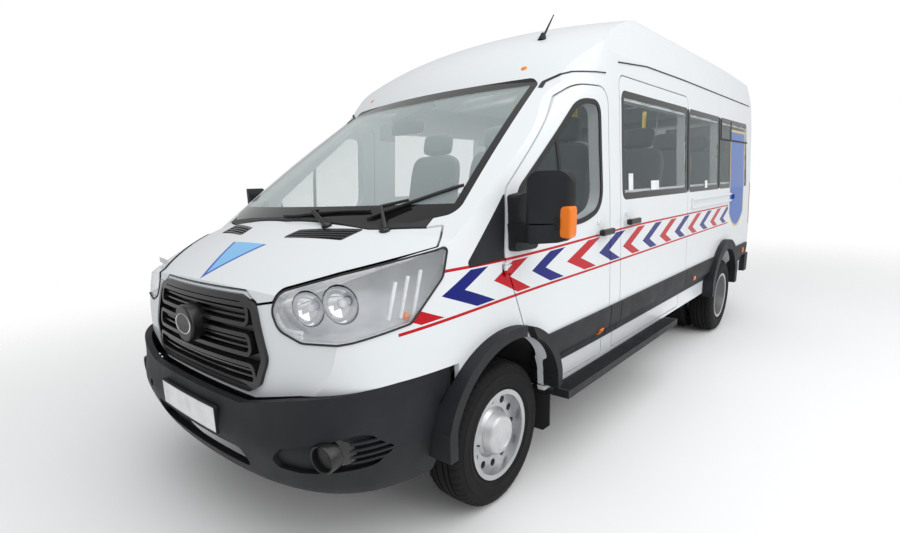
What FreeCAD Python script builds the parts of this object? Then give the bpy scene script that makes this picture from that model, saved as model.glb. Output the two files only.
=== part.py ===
"""A long, high-roof minibus with twin rear wheels, built as separate panels, glass, running gear and seats.

Frame: millimetres, +X forward, +Y to the vehicle's left, +Z up. The origin is at the centre of the
footprint, on the ground. Places along the body are measured from the front axle, forward positive.
"""
import FreeCAD, Part
import math
import os
import re

V = FreeCAD.Vector
doc = FreeCAD.newDocument("minibus")

SIZES = {
    # overall
    "body_length": 5981, "wheelbase": 3750, "front_overhang": 1023, "panel_gap": 8,
    # half widths of the body, from the sill up to the roof gutter
    "sill_half": 985, "flank_half": 1008, "belt_half": 1012, "shoulder_half": 1001, "waist_half": 994,
    "head_half": 955, "gutter_half": 938, "roof_side_half": 870,
    # heights of the body
    "sill_low": 443, "cladding_low": 575, "cladding_top": 763, "belt_high": 1000, "shoulder_high": 1257,
    "waist_high": 1365, "head_high": 1985, "gutter_high": 2173, "roof_side_high": 2400, "roof_top": 2552,
    "roof_corner": 140, "roof_rear_drop": 60, "corner_round": 90, "tail_inset": 60,
    # thickness of what is made of sheet, glass and mouldings
    "wall": 60, "roof_wall": 45, "glass_thick": 6, "cladding_proud": 15, "panel_depth": 25, "lining_clear": 75, "rubber": 8,
    # nose, bonnet, windscreen and cap, on the centre plane
    "nose_ahead": 940, "nose_edge_ahead": 905, "nose_edge_high": 1134, "bonnet_mid_ahead": 700,
    "bonnet_mid_high": 1243, "cowl_ahead": 435, "cowl_high": 1348, "screen_top_back": 640,
    "screen_top_high": 2043, "screen_bulge": 12, "cap_back": 1329, "cap_high": 2448, "crest_back": 2200,
    "crown_reach": 1100, "crown_back": 180, "crown_fall": 88,
    # doors and windows, behind the front axle
    "door_rear": 1050, "door_low": 470, "door_top": 1972, "slide_front": 1215, "slide_rear": 2540,
    "pane_split": 3480, "pane_end": 4625, "rear_door_half": 800, "rear_door_low": 640,
    "rear_door_top": 2330, "rear_pane_low": 1250, "rear_pane_top": 2060,
    # wheels and tyres
    "tyre_radius": 346, "tyre_width": 195, "rim_radius": 222, "seat_radius": 203, "front_track": 1732,
    "rear_track": 1642, "twin_gap": 227, "hub_radius": 80, "stub_radius": 30, "arch_top": 829,
    "rear_arch_top": 800, "flare_high": 87, "flare_out": 1050,
    # chassis
    "rail_spread": 840, "rail_wide": 70, "rail_tall": 120, "rail_low": 470, "floor_high": 660,
    "floor_thick": 40, "axle_tube": 55, "spring_wide": 70, "spring_spread": 1010,
    "engine_long": 780, "engine_wide": 620, "engine_tall": 560, "tank_long": 900, "tank_wide": 330,
    "tank_tall": 250, "pipe_radius": 32, "shaft_radius": 38,
    # cabin
    "seat_wide": 440, "seat_deep": 450, "seat_pitch": 750, "seat_high": 430, "back_high": 700,
    "aisle": 330, "dash_low": 900, "dash_high": 1290, "wheel_ring": 190, "wheel_grip": 14,
    # fittings
    "step_wide": 130, "step_thick": 42, "step_low": 418, "mirror_reach": 1237, "dome_radius": 32,
    "rail_cover": 80, "socket_radius": 11,
}

sheet = doc.addObject("Spreadsheet::Sheet", "sizes")
for row, (alias, value) in enumerate(SIZES.items(), start=1):
    sheet.set(f"A{row}", alias)
    sheet.set(f"B{row}", str(value))
    sheet.setAlias(f"B{row}", alias)
doc.recompute()


class Read:
    """The sheet's values as attributes, so that sz.wall is the cell with the alias wall."""

    def __getattr__(self, alias):
        return float(sheet.get(alias))


sz = Read()
FRONT = sz.body_length / 2
REAR = -sz.body_length / 2
TAIL = REAR + sz.tail_inset
AXLE = FRONT - sz.front_overhang
REAR_AXLE = AXLE - sz.wheelbase
ALIAS = re.compile("|".join(rf"\b{name}\b" for name in SIZES))
FAR = 1500.0
NODES = {}


def bind(obj, formulas):
    """Ties an object's properties to formulas over the sheet's aliases."""
    for prop, formula in formulas.items():
        obj.setExpression(prop, ALIAS.sub(lambda found: "sizes." + found.group(), formula))
    return obj


def at(x="0", y="0", z="0"):
    return {"Placement.Base.x": x, "Placement.Base.y": y, "Placement.Base.z": z}


def from_axle(offset):
    """A formula for a place along the body, given as millimetres or a formula ahead of the front axle."""
    return f"body_length / 2 - front_overhang + ({offset})"


def box(name, length, width, height, place):
    obj = doc.addObject("Part::Box", name)
    return bind(obj, {"Length": length, "Width": width, "Height": height, **place})


def cylinder(name, radius, height, place, along="Z"):
    obj = doc.addObject("Part::Cylinder", name)
    turn = {"X": FreeCAD.Rotation(V(0, 1, 0), 90), "Y": FreeCAD.Rotation(V(1, 0, 0), -90), "Z": FreeCAD.Rotation()}
    obj.Placement = FreeCAD.Placement(V(), turn[along])
    return bind(obj, {"Radius": radius, "Height": height, **place})


def fuse(name, *parts):
    obj = doc.addObject("Part::MultiFuse", name)
    obj.Shapes = list(parts)
    obj.Refine = True
    return obj


def cut(name, base, *tools):
    tool = tools[0] if len(tools) == 1 else fuse(name + "_tools", *tools)
    obj = doc.addObject("Part::Cut", name)
    obj.Base, obj.Tool = base, tool
    return obj


def common(name, first, second):
    obj = doc.addObject("Part::Common", name)
    obj.Base, obj.Tool = first, second
    return obj


def feature(name, shape):
    obj = doc.addObject("Part::Feature", name)
    obj.Shape = shape
    return obj


def node(label, obj):
    """Names a finished sub-part; its file takes the same name."""
    obj.Label = label
    NODES[label] = obj
    return obj


def mirrored(shape):
    return shape.mirror(V(0, 0, 0), V(0, 1, 0))


def joined(shapes):
    whole = shapes[0].multiFuse(shapes[1:]) if len(shapes) > 1 else shapes[0]
    return whole.removeSplitter()


def rounded(points, radius=0.0, radii=None):
    """A closed wire through the points, each corner turned by an arc."""
    count = len(points)
    radii = radii or [radius] * count
    starts, ends, arcs = [], [], []
    for i, here in enumerate(points):
        before = (points[i - 1] - here)
        after = (points[(i + 1) % count] - here)
        half_turn = before.getAngle(after) / 2
        reach = radii[i] / math.tan(half_turn) if radii[i] else 0.0
        reach = min(reach, before.Length * 0.45, after.Length * 0.45)
        if reach < 0.01 or half_turn > 1.555:
            starts.append(here)
            ends.append(here)
            arcs.append(None)
            continue
        one, two = here + before.normalize() * reach, here + after.normalize() * reach
        bisector = (before + after).normalize()
        turn = reach * math.tan(half_turn)
        middle = here + bisector * (turn / math.sin(half_turn) - turn)
        starts.append(one)
        ends.append(two)
        arcs.append(Part.Arc(one, middle, two).toShape())
    edges = []
    for i in range(count):
        if arcs[i]:
            edges.append(arcs[i])
        if (starts[(i + 1) % count] - ends[i]).Length > 1e-6:
            edges.append(Part.makeLine(ends[i], starts[(i + 1) % count]))
    return Part.Wire(edges)


def side_prism(points, low_y, high_y, radius=0.0, radii=None):
    """A solid from a side outline, points ahead of the front axle and above the ground, between two Y."""
    wire = rounded([V(AXLE + x, low_y, z) for x, z in points], radius, radii)
    return Part.Face(wire).extrude(V(0, high_y - low_y, 0))


def front_prism(points, low_x, high_x, radius=0.0, radii=None):
    """A solid from an outline seen from the front, as (y, z), between two places ahead of the axle."""
    wire = rounded([V(AXLE + low_x, y, z) for y, z in points], radius, radii)
    return Part.Face(wire).extrude(V(high_x - low_x, 0, 0))


def top_prism(points, low_z, high_z, radius=0.0, radii=None):
    """A solid from an outline seen from above, as (ahead of the axle, y), between two heights."""
    wire = rounded([V(AXLE + x, y, low_z) for x, y in points], radius, radii)
    return Part.Face(wire).extrude(V(0, 0, high_z - low_z))


def block(x0, x1, y0, y1, z0, z1):
    """A plain box between places ahead of the axle, Y and heights."""
    return Part.makeBox(x1 - x0, y1 - y0, z1 - z0, V(AXLE + x0, y0, z0))


def curve(points):
    spline = Part.BSplineCurve()
    spline.interpolate([V(AXLE + x, 0, z) for x, z in points])
    return spline.toShape()


def plan_wire(high, half, shoulder, corner, nose, inset):
    """The body's outline at one height: straight flanks, a drawn-in front and round rear corners."""
    start = -sz.door_rear - 100
    half -= inset
    reach = [(start, half), ((start + shoulder[0]) / 2, half),
             (shoulder[0] - 0.2 * inset, shoulder[1] - 0.97 * inset),
             (corner[0] - 0.7 * inset, corner[1] - 0.75 * inset),
             (nose - inset, (corner[1] - inset) / 2)]
    left = [V(AXLE + x, y, high) for x, y in reach]
    poles = left + [V(p.x, -p.y, high) for p in reversed(left)]
    front = Part.BSplineCurve()
    front.buildFromPoles(poles, False, 3)
    end = TAIL + inset
    turn = sz.corner_round
    near = turn * (1 - math.sqrt(0.5))
    a, m, b = V(end + turn, half, high), V(end + near, half - near, high), V(end, half - turn, high)
    fa, fm, fb = [V(p.x, -p.y, p.z) for p in (a, m, b)]
    return Part.Wire([front.toShape(), Part.makeLine(poles[-1], fa), Part.Arc(fa, fm, fb).toShape(),
                      Part.makeLine(fb, b), Part.Arc(b, m, a).toShape(), Part.makeLine(a, poles[0])])


def planform(inset):
    """The flanks: outlines at rising heights, with the cab drawing in ahead of the front doors."""
    sill = (sz.sill_half, (520, 965), (880, 850), 990)
    levels = [(300, *sill),
              (640, sz.flank_half, (560, 985), (900, 850), 990),
              (sz.belt_high, sz.belt_half, (600, 985), (930, 800), 1000),
              (sz.shoulder_high, sz.shoulder_half, (450, 960), (760, 800), 900),
              (sz.waist_high + 35, sz.waist_half, (180, 960), (420, 850), 640),
              (1700, (sz.waist_half + sz.head_half) / 2, (-325, 950), (-145, 825), 160),
              (sz.head_high + 15, sz.head_half, (-820, 925), (-700, 780), -330),
              (sz.gutter_high, sz.gutter_half, (-950, 910), (-790, 720), -560),
              (sz.roof_side_high, sz.gutter_half - 2, (-1250, 900), (-1150, 800), -950),
              (sz.roof_top + 100, sz.gutter_half - 2, (-1450, 900), (-1350, 800), -1150)]
    return Part.makeLoft([plan_wire(*level, inset) for level in levels], True, False)


def side_profile(inset):
    """The centre-plane outline: nose, bonnet, windscreen, cap and roof."""
    i = inset
    far = REAR - AXLE - 350
    nose = (sz.nose_edge_ahead - 0.8 * i, sz.nose_edge_high - 0.6 * i)
    cowl = (sz.cowl_ahead - 0.3 * i, sz.cowl_high - 0.95 * i)
    brow = (-sz.screen_top_back - 0.54 * i, sz.screen_top_high - 0.84 * i)
    middle = ((cowl[0] + brow[0]) / 2 + 0.54 * sz.screen_bulge, (cowl[1] + brow[1]) / 2 + 0.84 * sz.screen_bulge)
    tail = (far, sz.roof_top - sz.roof_rear_drop - 55 - i)
    edges = [
        curve([(sz.nose_ahead + 15 - i, 100), (sz.nose_ahead + 10 - i, 700), (sz.nose_ahead - 8 - i, 1000), nose]),
        curve([nose, (sz.bonnet_mid_ahead - 0.4 * i, sz.bonnet_mid_high - 0.9 * i), cowl]),
        curve([cowl, middle, brow]),
        curve([brow, (-934 - 0.6 * i, 2290 - 0.8 * i), (-sz.cap_back - 0.3 * i, sz.cap_high - 0.95 * i),
               (-sz.cap_back - 420, sz.roof_top - 18 - i), (-sz.crest_back, sz.roof_top - i),
               (-sz.wheelbase, sz.roof_top - sz.roof_rear_drop * 0.6 - i), tail]),
        Part.makeLine(V(AXLE + far, 0, tail[1]), V(AXLE + far, 0, 100)),
        Part.makeLine(V(AXLE + far, 0, 100), V(AXLE + sz.nose_ahead + 15 - i, 0, 100)),
    ]
    return Part.Wire(edges)


def crowned(inset):
    """The side profile carried across the body, falling back and down towards each side."""
    wires = []
    for share in (-1, -0.5, 0, 0.5, 1):
        wire = side_profile(inset)
        wire.translate(V(-sz.crown_back * share ** 2, sz.crown_reach * share, -sz.crown_fall * share ** 2))
        wires.append(wire)
    return Part.makeLoft(wires, True, False)


def roof_section(inset):
    """The section of the high roof: leaning sides, round shoulders and a crowned top."""
    lean = math.atan2(sz.gutter_half - sz.roof_side_half, sz.roof_side_high - sz.gutter_high)
    turn = sz.roof_corner
    cy, cz = sz.roof_side_half - turn * math.cos(lean), sz.roof_side_high - turn * math.sin(lean)
    top_angle = math.radians(82)
    reach = turn - inset
    side, middle, end = [V(0, cy + reach * math.cos(angle), cz + reach * math.sin(angle))
                         for angle in (lean, (lean + top_angle) / 2, top_angle)]
    low = V(0, side.y + math.sin(lean) * 600, side.z - math.cos(lean) * 600)
    foot, crest = V(0, low.y, 50), V(0, 0, sz.roof_top + 8 - inset)
    far_side, far_middle, far_end, far_low, far_foot = [V(0, -p.y, p.z) for p in (side, middle, end, low, foot)]
    wire = Part.Wire([
        Part.makeLine(foot, low), Part.makeLine(low, side), Part.Arc(side, middle, end).toShape(),
        Part.Arc(end, crest, far_end).toShape(), Part.Arc(far_end, far_middle, far_side).toShape(),
        Part.makeLine(far_side, far_low), Part.makeLine(far_low, far_foot), Part.makeLine(far_foot, foot)])
    solid = Part.Face(wire).extrude(V(sz.body_length + 200, 0, 0))
    solid.translate(V(REAR - 100, 0, 0))
    return solid


FORMS = {}


def form(inset=0.0):
    """The body's whole outer shape as one solid, drawn in by the inset on every side."""
    if inset not in FORMS:
        FORMS[inset] = planform(inset).common(crowned(inset)).common(roof_section(inset))
    return FORMS[inset]


def skin(outer, inner):
    """The shell between two insets, open at the bottom."""
    key = (outer, inner)
    if key not in FORMS:
        FORMS[key] = form(outer).cut(form(inner)).cut(block(-6000, 2000, -FAR, FAR, 0, sz.sill_low))
    return FORMS[key]


# outlines of the openings, ahead of the front axle and above the ground
GAP = sz.panel_gap
DOOR = [(-sz.door_rear, sz.door_low), (-sz.door_rear, sz.door_top), (-790, sz.door_top), (-640, 1905),
        (-46, 1460), (5, 1176), (-108, 871), (-230, 700), (-372, 560), (-378, sz.door_low)]
DOOR_RADII = [25, 90, 260, 120, 90, 120, 60, 260, 120, 10]
DOOR_PANE = [(-945, 1340), (-945, 1890), (-760, 1890), (-140, 1455), (-90, 1310), (-700, 1275)]
DOOR_PANE_RADII = [150, 70, 150, 40, 60, 200]
SLIDE = [(-sz.slide_front, sz.door_low), (-sz.slide_front, 2060), (-sz.slide_rear, 2060),
         (-sz.slide_rear, sz.door_low)]
PANE_TOP, PANE_LOW = sz.head_high, sz.waist_high


def arch_outline(middle, front, rear, top, low=380.0, extra=0.0):
    """A wheel opening: steep legs and a round top. The extra widens it on all sides."""
    haunch = top - 72 + extra * 0.7
    points = [(rear - extra, low - 200), (rear - extra, 560), (rear * 0.62 + middle * 0.38 - extra * 0.72, haunch),
              (middle, top + extra), (front * 0.62 + middle * 0.38 + extra * 0.72, haunch),
              (front + extra, 560), (front + extra, low - 200)]
    spline = Part.BSplineCurve()
    spline.interpolate([V(AXLE + x, 0, z) for x, z in points[1:-1]])
    a, b = V(AXLE + points[0][0], 0, points[0][1]), V(AXLE + points[1][0], 0, points[1][1])
    c, d = V(AXLE + points[5][0], 0, points[5][1]), V(AXLE + points[6][0], 0, points[6][1])
    return Part.Wire([Part.makeLine(a, b), spline.toShape(), Part.makeLine(c, d), Part.makeLine(d, a)])


def arch_prism(wire, low_y, high_y):
    face = Part.Face(wire)
    face.translate(V(0, low_y, 0))
    return face.extrude(V(0, high_y - low_y, 0))


FRONT_ARCH = arch_outline(20, 440, -372, sz.arch_top)
REAR_ARCH = arch_outline(-sz.wheelbase, -sz.wheelbase + 385, -sz.wheelbase - 385, sz.rear_arch_top)
FRONT_FLARE = arch_outline(20, 440, -372, sz.arch_top, extra=sz.flare_high * 0.55)
REAR_FLARE = arch_outline(-sz.wheelbase, -sz.wheelbase + 385, -sz.wheelbase - 385, sz.rear_arch_top, extra=sz.flare_high)

# windscreen, seen from the front
SCREEN_HALF = [(0, 1372), (420, 1360), (720, 1342), (880, 1378), (735, 1990), (690, 2034)]
SCREEN = SCREEN_HALF + [(-y, z) for y, z in reversed(SCREEN_HALF[1:])]
SCREEN_RADII = [900, 600, 200, 40, 30, 60, 60, 30, 40, 200, 600]
# headlamp outline on a plane square to the view from the front corner: along (h) and above the ground
LAMP = [(425, 1262), (400, 1150), (268, 1003), (60, 970), (-130, 955), (-225, 990), (-255, 1060),
        (-215, 1125), (10, 1178)]
LAMP_RADII = [15, 60, 20, 100, 60, 60, 60, 60, 200]
BONNET_PLAN = [(425, 0), (395, 560), (300, 800), (262, 862), (380, 926), (509, 848), (667, 740), (798, 605),
               (859, 592), (960, 560), (960, 0)]
BONNET_FACE = [(0, 1600), (950, 1600), (950, 1060), (592, 1095), (432, 1066), (362, 1114), (0, 1114)]
GRILLE = [(-350, 1106), (-440, 1075), (-520, 870), (-470, 760), (-400, 722), (400, 722), (470, 760), (520, 870),
          (440, 1075), (350, 1106)]


def outline_prism(points, radii, low_y, high_y, grow=0.0):
    """A side outline grown by a margin, as a solid between two Y."""
    wire = rounded([V(AXLE + x, 0, z) for x, z in points], radii=radii)
    if grow:
        wire = wire.makeOffset2D(grow, 0, False, False)
    face = Part.Face(wire)
    face.translate(V(0, low_y, 0))
    return face.extrude(V(0, high_y - low_y, 0))


def front_outline_prism(points, radii, low_x, high_x, grow=0.0):
    """An outline seen from the front, grown by a margin, as a solid between two places."""
    wire = rounded([V(0, y, z) for y, z in points], radii=radii)
    if grow:
        wire = wire.makeOffset2D(grow, 0, False, False)
    face = Part.Face(wire)
    face.translate(V(AXLE + low_x, 0, 0))
    return face.extrude(V(high_x - low_x, 0, 0))


def pane_points(front, rear, low=None, top=None):
    low, top = low or PANE_LOW, top or PANE_TOP
    return [(-front, low), (-front, top), (-rear, top), (-rear, low)]


TAIL_BACK = AXLE - TAIL
PANES = [pane_points(sz.slide_front + 22, sz.slide_rear - 14),
         pane_points(sz.slide_rear + 14, sz.pane_split - 5),
         [(-sz.pane_split - 5, PANE_LOW), (-sz.pane_split - 5, PANE_TOP), (-sz.pane_end + 60, PANE_TOP),
          (-sz.pane_end, PANE_LOW)]]
PANE_RADII = [60, 60, 30, 30]
FRAME_MARGIN = 55.0
LEFT, RIGHT = 1, -1


def on_side(shape, side):
    """The left shape itself, or its mirror image for the right."""
    return shape if side == LEFT else mirrored(shape)


REAR_PIN = (-TAIL_BACK - 16, sz.rear_door_half + 8)
REAR_HINGES = (820.0, 1500.0, 2100.0)


def rear_leaf(low, high, inner, outer, sunk=0):
    """Half of a strap hinge on the tail: a barrel about the pin line and its leaf on the panel."""
    barrel_half = Part.makeCylinder(11, high - low, V(AXLE + REAR_PIN[0], REAR_PIN[1], low))
    leaf = block(-TAIL_BACK - 12, -TAIL_BACK + sunk, inner, outer, low, high)
    return joined([barrel_half, leaf])


rear_hinges = [(rear_leaf(z, z + 28, REAR_PIN[1] - 98, REAR_PIN[1] - 4),
                rear_leaf(z + 28.3, z + 58, REAR_PIN[1] + 4, REAR_PIN[1] + 44, 20)) for z in REAR_HINGES]

# body shell: sides, roof, cap
shell = skin(0.0, sz.wall)
roof_shell = skin(0.0, sz.roof_wall)
pane_skin = skin(0.0, sz.glass_thick)
seam_skin = skin(0.0, sz.panel_depth)

screen_hole = front_outline_prism(SCREEN, SCREEN_RADII, -900, 560, grow=-22)
screen_seat = front_outline_prism(SCREEN, SCREEN_RADII, -900, 560).common(pane_skin)
door_hole = outline_prism(DOOR, DOOR_RADII, 700, FAR, grow=GAP)
slide_hole = outline_prism(SLIDE, [20, 60, 60, 20], 300, FAR)
slide_groove = outline_prism(SLIDE, [20, 60, 60, 20], 300, FAR, grow=GAP).common(seam_skin)
front_arch = arch_prism(FRONT_ARCH, 560, FAR)
rear_arch = arch_prism(REAR_ARCH, 560, FAR)
rear_door_hole = front_outline_prism(
    [(-sz.rear_door_half - GAP, sz.rear_door_low - GAP), (-sz.rear_door_half - GAP, sz.rear_door_top + GAP),
     (sz.rear_door_half + GAP, sz.rear_door_top + GAP), (sz.rear_door_half + GAP, sz.rear_door_low - GAP)],
    [30, 120, 120, 30], -TAIL_BACK - 50, -TAIL_BACK + sz.wall + 60)

CAP_EDGE = [(-sz.door_rear - 29, 2700), (-sz.door_rear - 29, sz.gutter_high), (-1000, 2110), (-790, 2040),
            (-700, 1975), (-625, 1880), (-300, 1880), (-300, 2700)]
cap_region = side_prism(CAP_EDGE, -FAR, FAR)
WING_EDGE = [(-60, 1442), (-250, 760), (-383, sz.sill_low - 1)]
side_region = side_prism([(-TAIL_BACK - 10, sz.sill_low), (-TAIL_BACK - 10, sz.gutter_high), (200, sz.gutter_high),
                          (430, 1442)] + WING_EDGE, 0, FAR)


WING_TRIM = [(-80, 1490), (262, 1166), (-40, 1174)]
WING_TRIM_RADII = [4, 14, 4]
TAIL_LAMP = block(-TAIL_BACK - 10, -TAIL_BACK + 120, 862, FAR, 960, 1400)


def pane_cutters(panes):
    """The rabbet that a pane lies in and the opening behind it."""
    cutters = []
    for pane in panes:
        cutters.append(outline_prism(pane, PANE_RADII, 300, FAR).common(pane_skin))
        cutters.append(outline_prism(pane, PANE_RADII, 300, FAR, grow=-FRAME_MARGIN))
    return cutters


side_blank = shell.common(side_region).cut(
    [screen_hole, screen_seat, door_hole, rear_arch, front_arch, rear_door_hole, cap_region, TAIL_LAMP]
    + pane_cutters(PANES[1:]))
body_leaves = [leaf for _, leaf in rear_hinges]
side_left = joined([side_blank.cut([slide_hole, slide_groove])] + body_leaves)
side_right = mirrored(joined([side_blank.cut(pane_cutters(PANES[:1]))] + body_leaves))
node("side_left", feature("SideLeft", side_left))
node("side_right", feature("SideRight", side_right))

roof_region = block(-6000, -sz.door_rear - 29, -FAR, FAR, sz.gutter_high, 2900)
node("roof", feature("Roof", roof_shell.common(roof_region).cut([rear_door_hole])))
both_doors = [door_hole, mirrored(door_hole)]
cap = roof_shell.common(cap_region).cut([screen_hole, screen_seat] + both_doors)
node("roof_cap", feature("RoofCap", cap))

node("windscreen", feature("Windscreen", screen_seat))
glass = [on_side(outline_prism(pane, PANE_RADII, 300, FAR).common(pane_skin), side)
         for side in (LEFT, RIGHT) for pane in PANES]
node("side_glass", feature("SideGlass", Part.makeCompound(glass)))

# cladding and wheel flares
cladding_skin = form(-sz.cladding_proud).cut(form(0.0))
strip = block(-6000, 2000, 0, FAR, sz.cladding_low, sz.cladding_top)
above_sill = block(-6000, 2000, -FAR, FAR, sz.sill_low, 2700)
flare_front = arch_prism(FRONT_FLARE, 880, sz.flare_out).cut([front_arch, form(0.0)])
flare_rear = arch_prism(REAR_FLARE, 880, sz.flare_out + 13).cut([rear_arch, form(0.0)])
door_solid = outline_prism(DOOR, DOOR_RADII, 700, FAR)
DOOR_PIN = (13.0, 992.0)
FLARE_SPLIT = 104.0
BUMPER_FACE = [(0, 250), (1100, 250), (1100, 803), (940, 800), (664, 757), (418, 700), (0, 700)]


def both_halves(half, radii=None):
    """A closed outline from its half at positive Y; points on the middle line aren't repeated."""
    return half + [(-y, z) for y, z in reversed(half) if abs(y) > 1e-6]


door_trim = cladding_skin.common(strip).common(door_solid).cut([front_arch, flare_front])


def pin_column(radius):
    """An upright column about the front door's hinge line, on which the wheel flare is parted."""
    return Part.makeCylinder(radius, 1200, V(AXLE + DOOR_PIN[0], DOOR_PIN[1], 300))


behind_pin = block(-700, DOOR_PIN[0], 0, FAR, sz.door_low + 5, 1200)
door_flare = flare_front.common(behind_pin).common(door_solid).cut(pin_column(FLARE_SPLIT + GAP))
door_trim = joined([door_trim, door_flare])
ahead_of_pin = block(DOOR_PIN[0], 700, 0, FAR, sz.sill_low, 1200)
body_flare = flare_front.common(ahead_of_pin.fuse(pin_column(FLARE_SPLIT))).common(above_sill)
rear_flare = flare_rear.common(block(-6000, 0, 0, FAR, sz.sill_low - 30, 1200))
wing_trim = outline_prism(WING_TRIM, WING_TRIM_RADII, 700, FAR)
wing_trim_hole = outline_prism(WING_TRIM, WING_TRIM_RADII, 700, FAR, grow=2)
trims = [body_flare, rear_flare, seam_skin.common(wing_trim).cut([door_hole, screen_hole, screen_seat, side_left])]
for ahead, behind in ((-sz.door_rear - GAP, -sz.slide_front + 4), (-sz.slide_front - 4, -sz.slide_rear + 4),
                      (-sz.slide_rear - 4, -TAIL_BACK + 150)):
    piece = strip.common(block(behind, ahead, 0, FAR, 0, 2000))
    trims.append(cladding_skin.common(piece).cut([rear_arch, flare_rear]))
node("side_cladding", feature("SideCladding", Part.makeCompound(trims + [mirrored(t) for t in trims])))

# sliding door, which stays shut
def pull_handle(front, rear, high):
    """A grip that stands off the skin on two feet."""
    grip = block(rear, front, 1022, 1050, high - 18, high + 18)
    grip = grip.makeFillet(10, grip.Edges)
    feet = [block(x - 14, x + 14, 900, 1036, high - 14, high + 14).cut(form(0.0)) for x in (front - 24, rear + 24)]
    return joined([grip] + feet)


slide_blank = shell.common(slide_hole).cut(pane_cutters(PANES[:1]))
slide_handle = pull_handle(-1256, -1420, 1235)
node("sliding_door", feature("SlidingDoor", joined([slide_blank, slide_handle])))
slide_cover = cladding_skin.common(block(-4045, -2630, 0, FAR, 1238, 1318))
slide_slot = block(-4035, -2640, 1000, FAR, 1256, 1300).cut([form(0.0)])
slide_cover = slide_cover.cut([slide_slot])
node("slide_rail", feature("SlideRail", slide_cover))

# front doors with their glass, cladding and mirrors
pane_hole = outline_prism(DOOR_PANE, DOOR_PANE_RADII, 780, FAR, grow=-14)
pane_seat = outline_prism(DOOR_PANE, DOOR_PANE_RADII, 830, FAR).common(pane_skin)
door_blank = shell.common(door_solid).cut([front_arch, pane_hole, pane_seat, screen_seat])
door_blank = joined([door_blank, pull_handle(-868, -1020, 1205)])
HINGE_LOW, HINGE_HIGH = 1112.0, 1146.0


def upright_pin(radius, low, high, middle=DOOR_PIN):
    return Part.makeCylinder(radius, high - low, V(AXLE + middle[0], middle[1], low))


hinge_neck = block(-34, DOOR_PIN[0], DOOR_PIN[1] - 14, DOOR_PIN[1] + 6, HINGE_LOW, HINGE_HIGH)
hinge_eye = joined([upright_pin(9, HINGE_LOW, HINGE_HIGH), hinge_neck])
door_blank = joined([door_blank, hinge_eye]).cut([upright_pin(5.3, HINGE_LOW - 5, HINGE_HIGH + 5)])
MIRROR_FOOT = [(-22, 1200), (-50, 1438), (-170, 1452), (-236, 1330), (-215, 1196)]
foot = outline_prism(MIRROR_FOOT, [20, 20, 60, 60, 30], 900, 1016).cut(form(0.0))
arm = front_outline_prism([(960, 1240), (960, 1318), (1090, 1318), (1090, 1240)], [10] * 4, -92, -30).cut(form(0.0))
head_plan = top_prism([(6, 1062), (-16, 1140), (-70, 1232), (-112, 1240), (-132, 1150), (-128, 1062)], 1200, 1560,
                      radii=[30, 200, 40, 12, 60, 12])
head = front_outline_prism([(1070, 1322), (1074, 1500), (1108, 1530), (1204, 1528), (1237, 1490), (1237, 1322)],
                           [8, 60, 50, 40, 60, 8], -300, 200).common(head_plan)
chin = front_outline_prism([(1062, 1262), (1066, 1316), (1237, 1316), (1230, 1262), (1198, 1244), (1090, 1238)],
                           [20, 8, 8, 30, 30, 30], -300, 200).common(head_plan)
core = block(-90, -40, 1090, 1200, 1300, 1340)
mirror = joined([foot, arm, head, chin, core])
for side, name in ((LEFT, "left"), (RIGHT, "right")):
    title = name.title()
    node(f"front_door_{name}", feature(f"FrontDoor{title}", on_side(door_blank, side)))
    node(f"door_glass_{name}", feature(f"DoorGlass{title}", on_side(pane_seat, side)))
    node(f"door_cladding_{name}", feature(f"DoorCladding{title}", on_side(door_trim, side)))
    node(f"mirror_{name}", feature(f"Mirror{title}", on_side(mirror, side)))

# rear doors, hinged at their outer edges
door_edge = 7.0
half_door = [(door_edge, sz.rear_door_low), (door_edge, sz.rear_door_top), (sz.rear_door_half, sz.rear_door_top),
             (sz.rear_door_half, sz.rear_door_low)]
rear_pane = [(70, sz.rear_pane_low), (70, sz.rear_pane_top), (690, sz.rear_pane_top), (730, sz.rear_pane_low)]
back_face = -TAIL_BACK
rear_blank = shell.common(front_outline_prism(half_door, [8, 8, 110, 30], back_face - 40, back_face + sz.wall + 40))
rear_seat = front_outline_prism(rear_pane, [50] * 4, back_face - 40, back_face + 100).common(pane_skin)
rear_opening = front_outline_prism(rear_pane, [50] * 4, back_face - 40, back_face + 100, grow=-30)
rear_blank = joined([rear_blank.cut([rear_seat, rear_opening])] + [leaf for leaf, _ in rear_hinges])
for side, name in ((LEFT, "left"), (RIGHT, "right")):
    title = name.title()
    node(f"rear_door_{name}", feature(f"RearDoor{title}", on_side(rear_blank, side)))
    node(f"rear_glass_{name}", feature(f"RearGlass{title}", on_side(rear_seat, side)))
lamp_left = roof_shell.common(TAIL_LAMP)
node("tail_lamps", feature("TailLamps", Part.makeCompound([lamp_left, mirrored(lamp_left)])))

# bonnet, headlamps, wings and nose
LAMP_AXIS, LAMP_ALONG = V(1, 1, 0).normalize(), V(-1, 1, 0).normalize()


def lamp_prism(low, high, grow=0.0):
    """The headlamp's outline, carried outwards from the front corner."""
    start = V(AXLE, 0, 0) + LAMP_AXIS * low
    wire = rounded([start + LAMP_ALONG * h + V(0, 0, z) for h, z in LAMP], radii=LAMP_RADII)
    wire = wire.makeOffset2D(grow, 0, False, False) if grow else wire
    return Part.Face(wire).extrude(LAMP_AXIS * (high - low))


def bonnet_zone(grow):
    plan = rounded([V(AXLE + x, y, 0) for x, y in both_halves_plan(BONNET_PLAN)], 12)
    plan = plan.makeOffset2D(grow, 0, False, False) if grow else plan
    column = Part.Face(plan)
    column.translate(V(0, 0, 1000))
    column = column.extrude(V(0, 0, 700))
    face = both_halves(BONNET_FACE)
    return column.common(front_outline_prism(face, [8] * len(face), 200, 1100, grow=grow))


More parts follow.
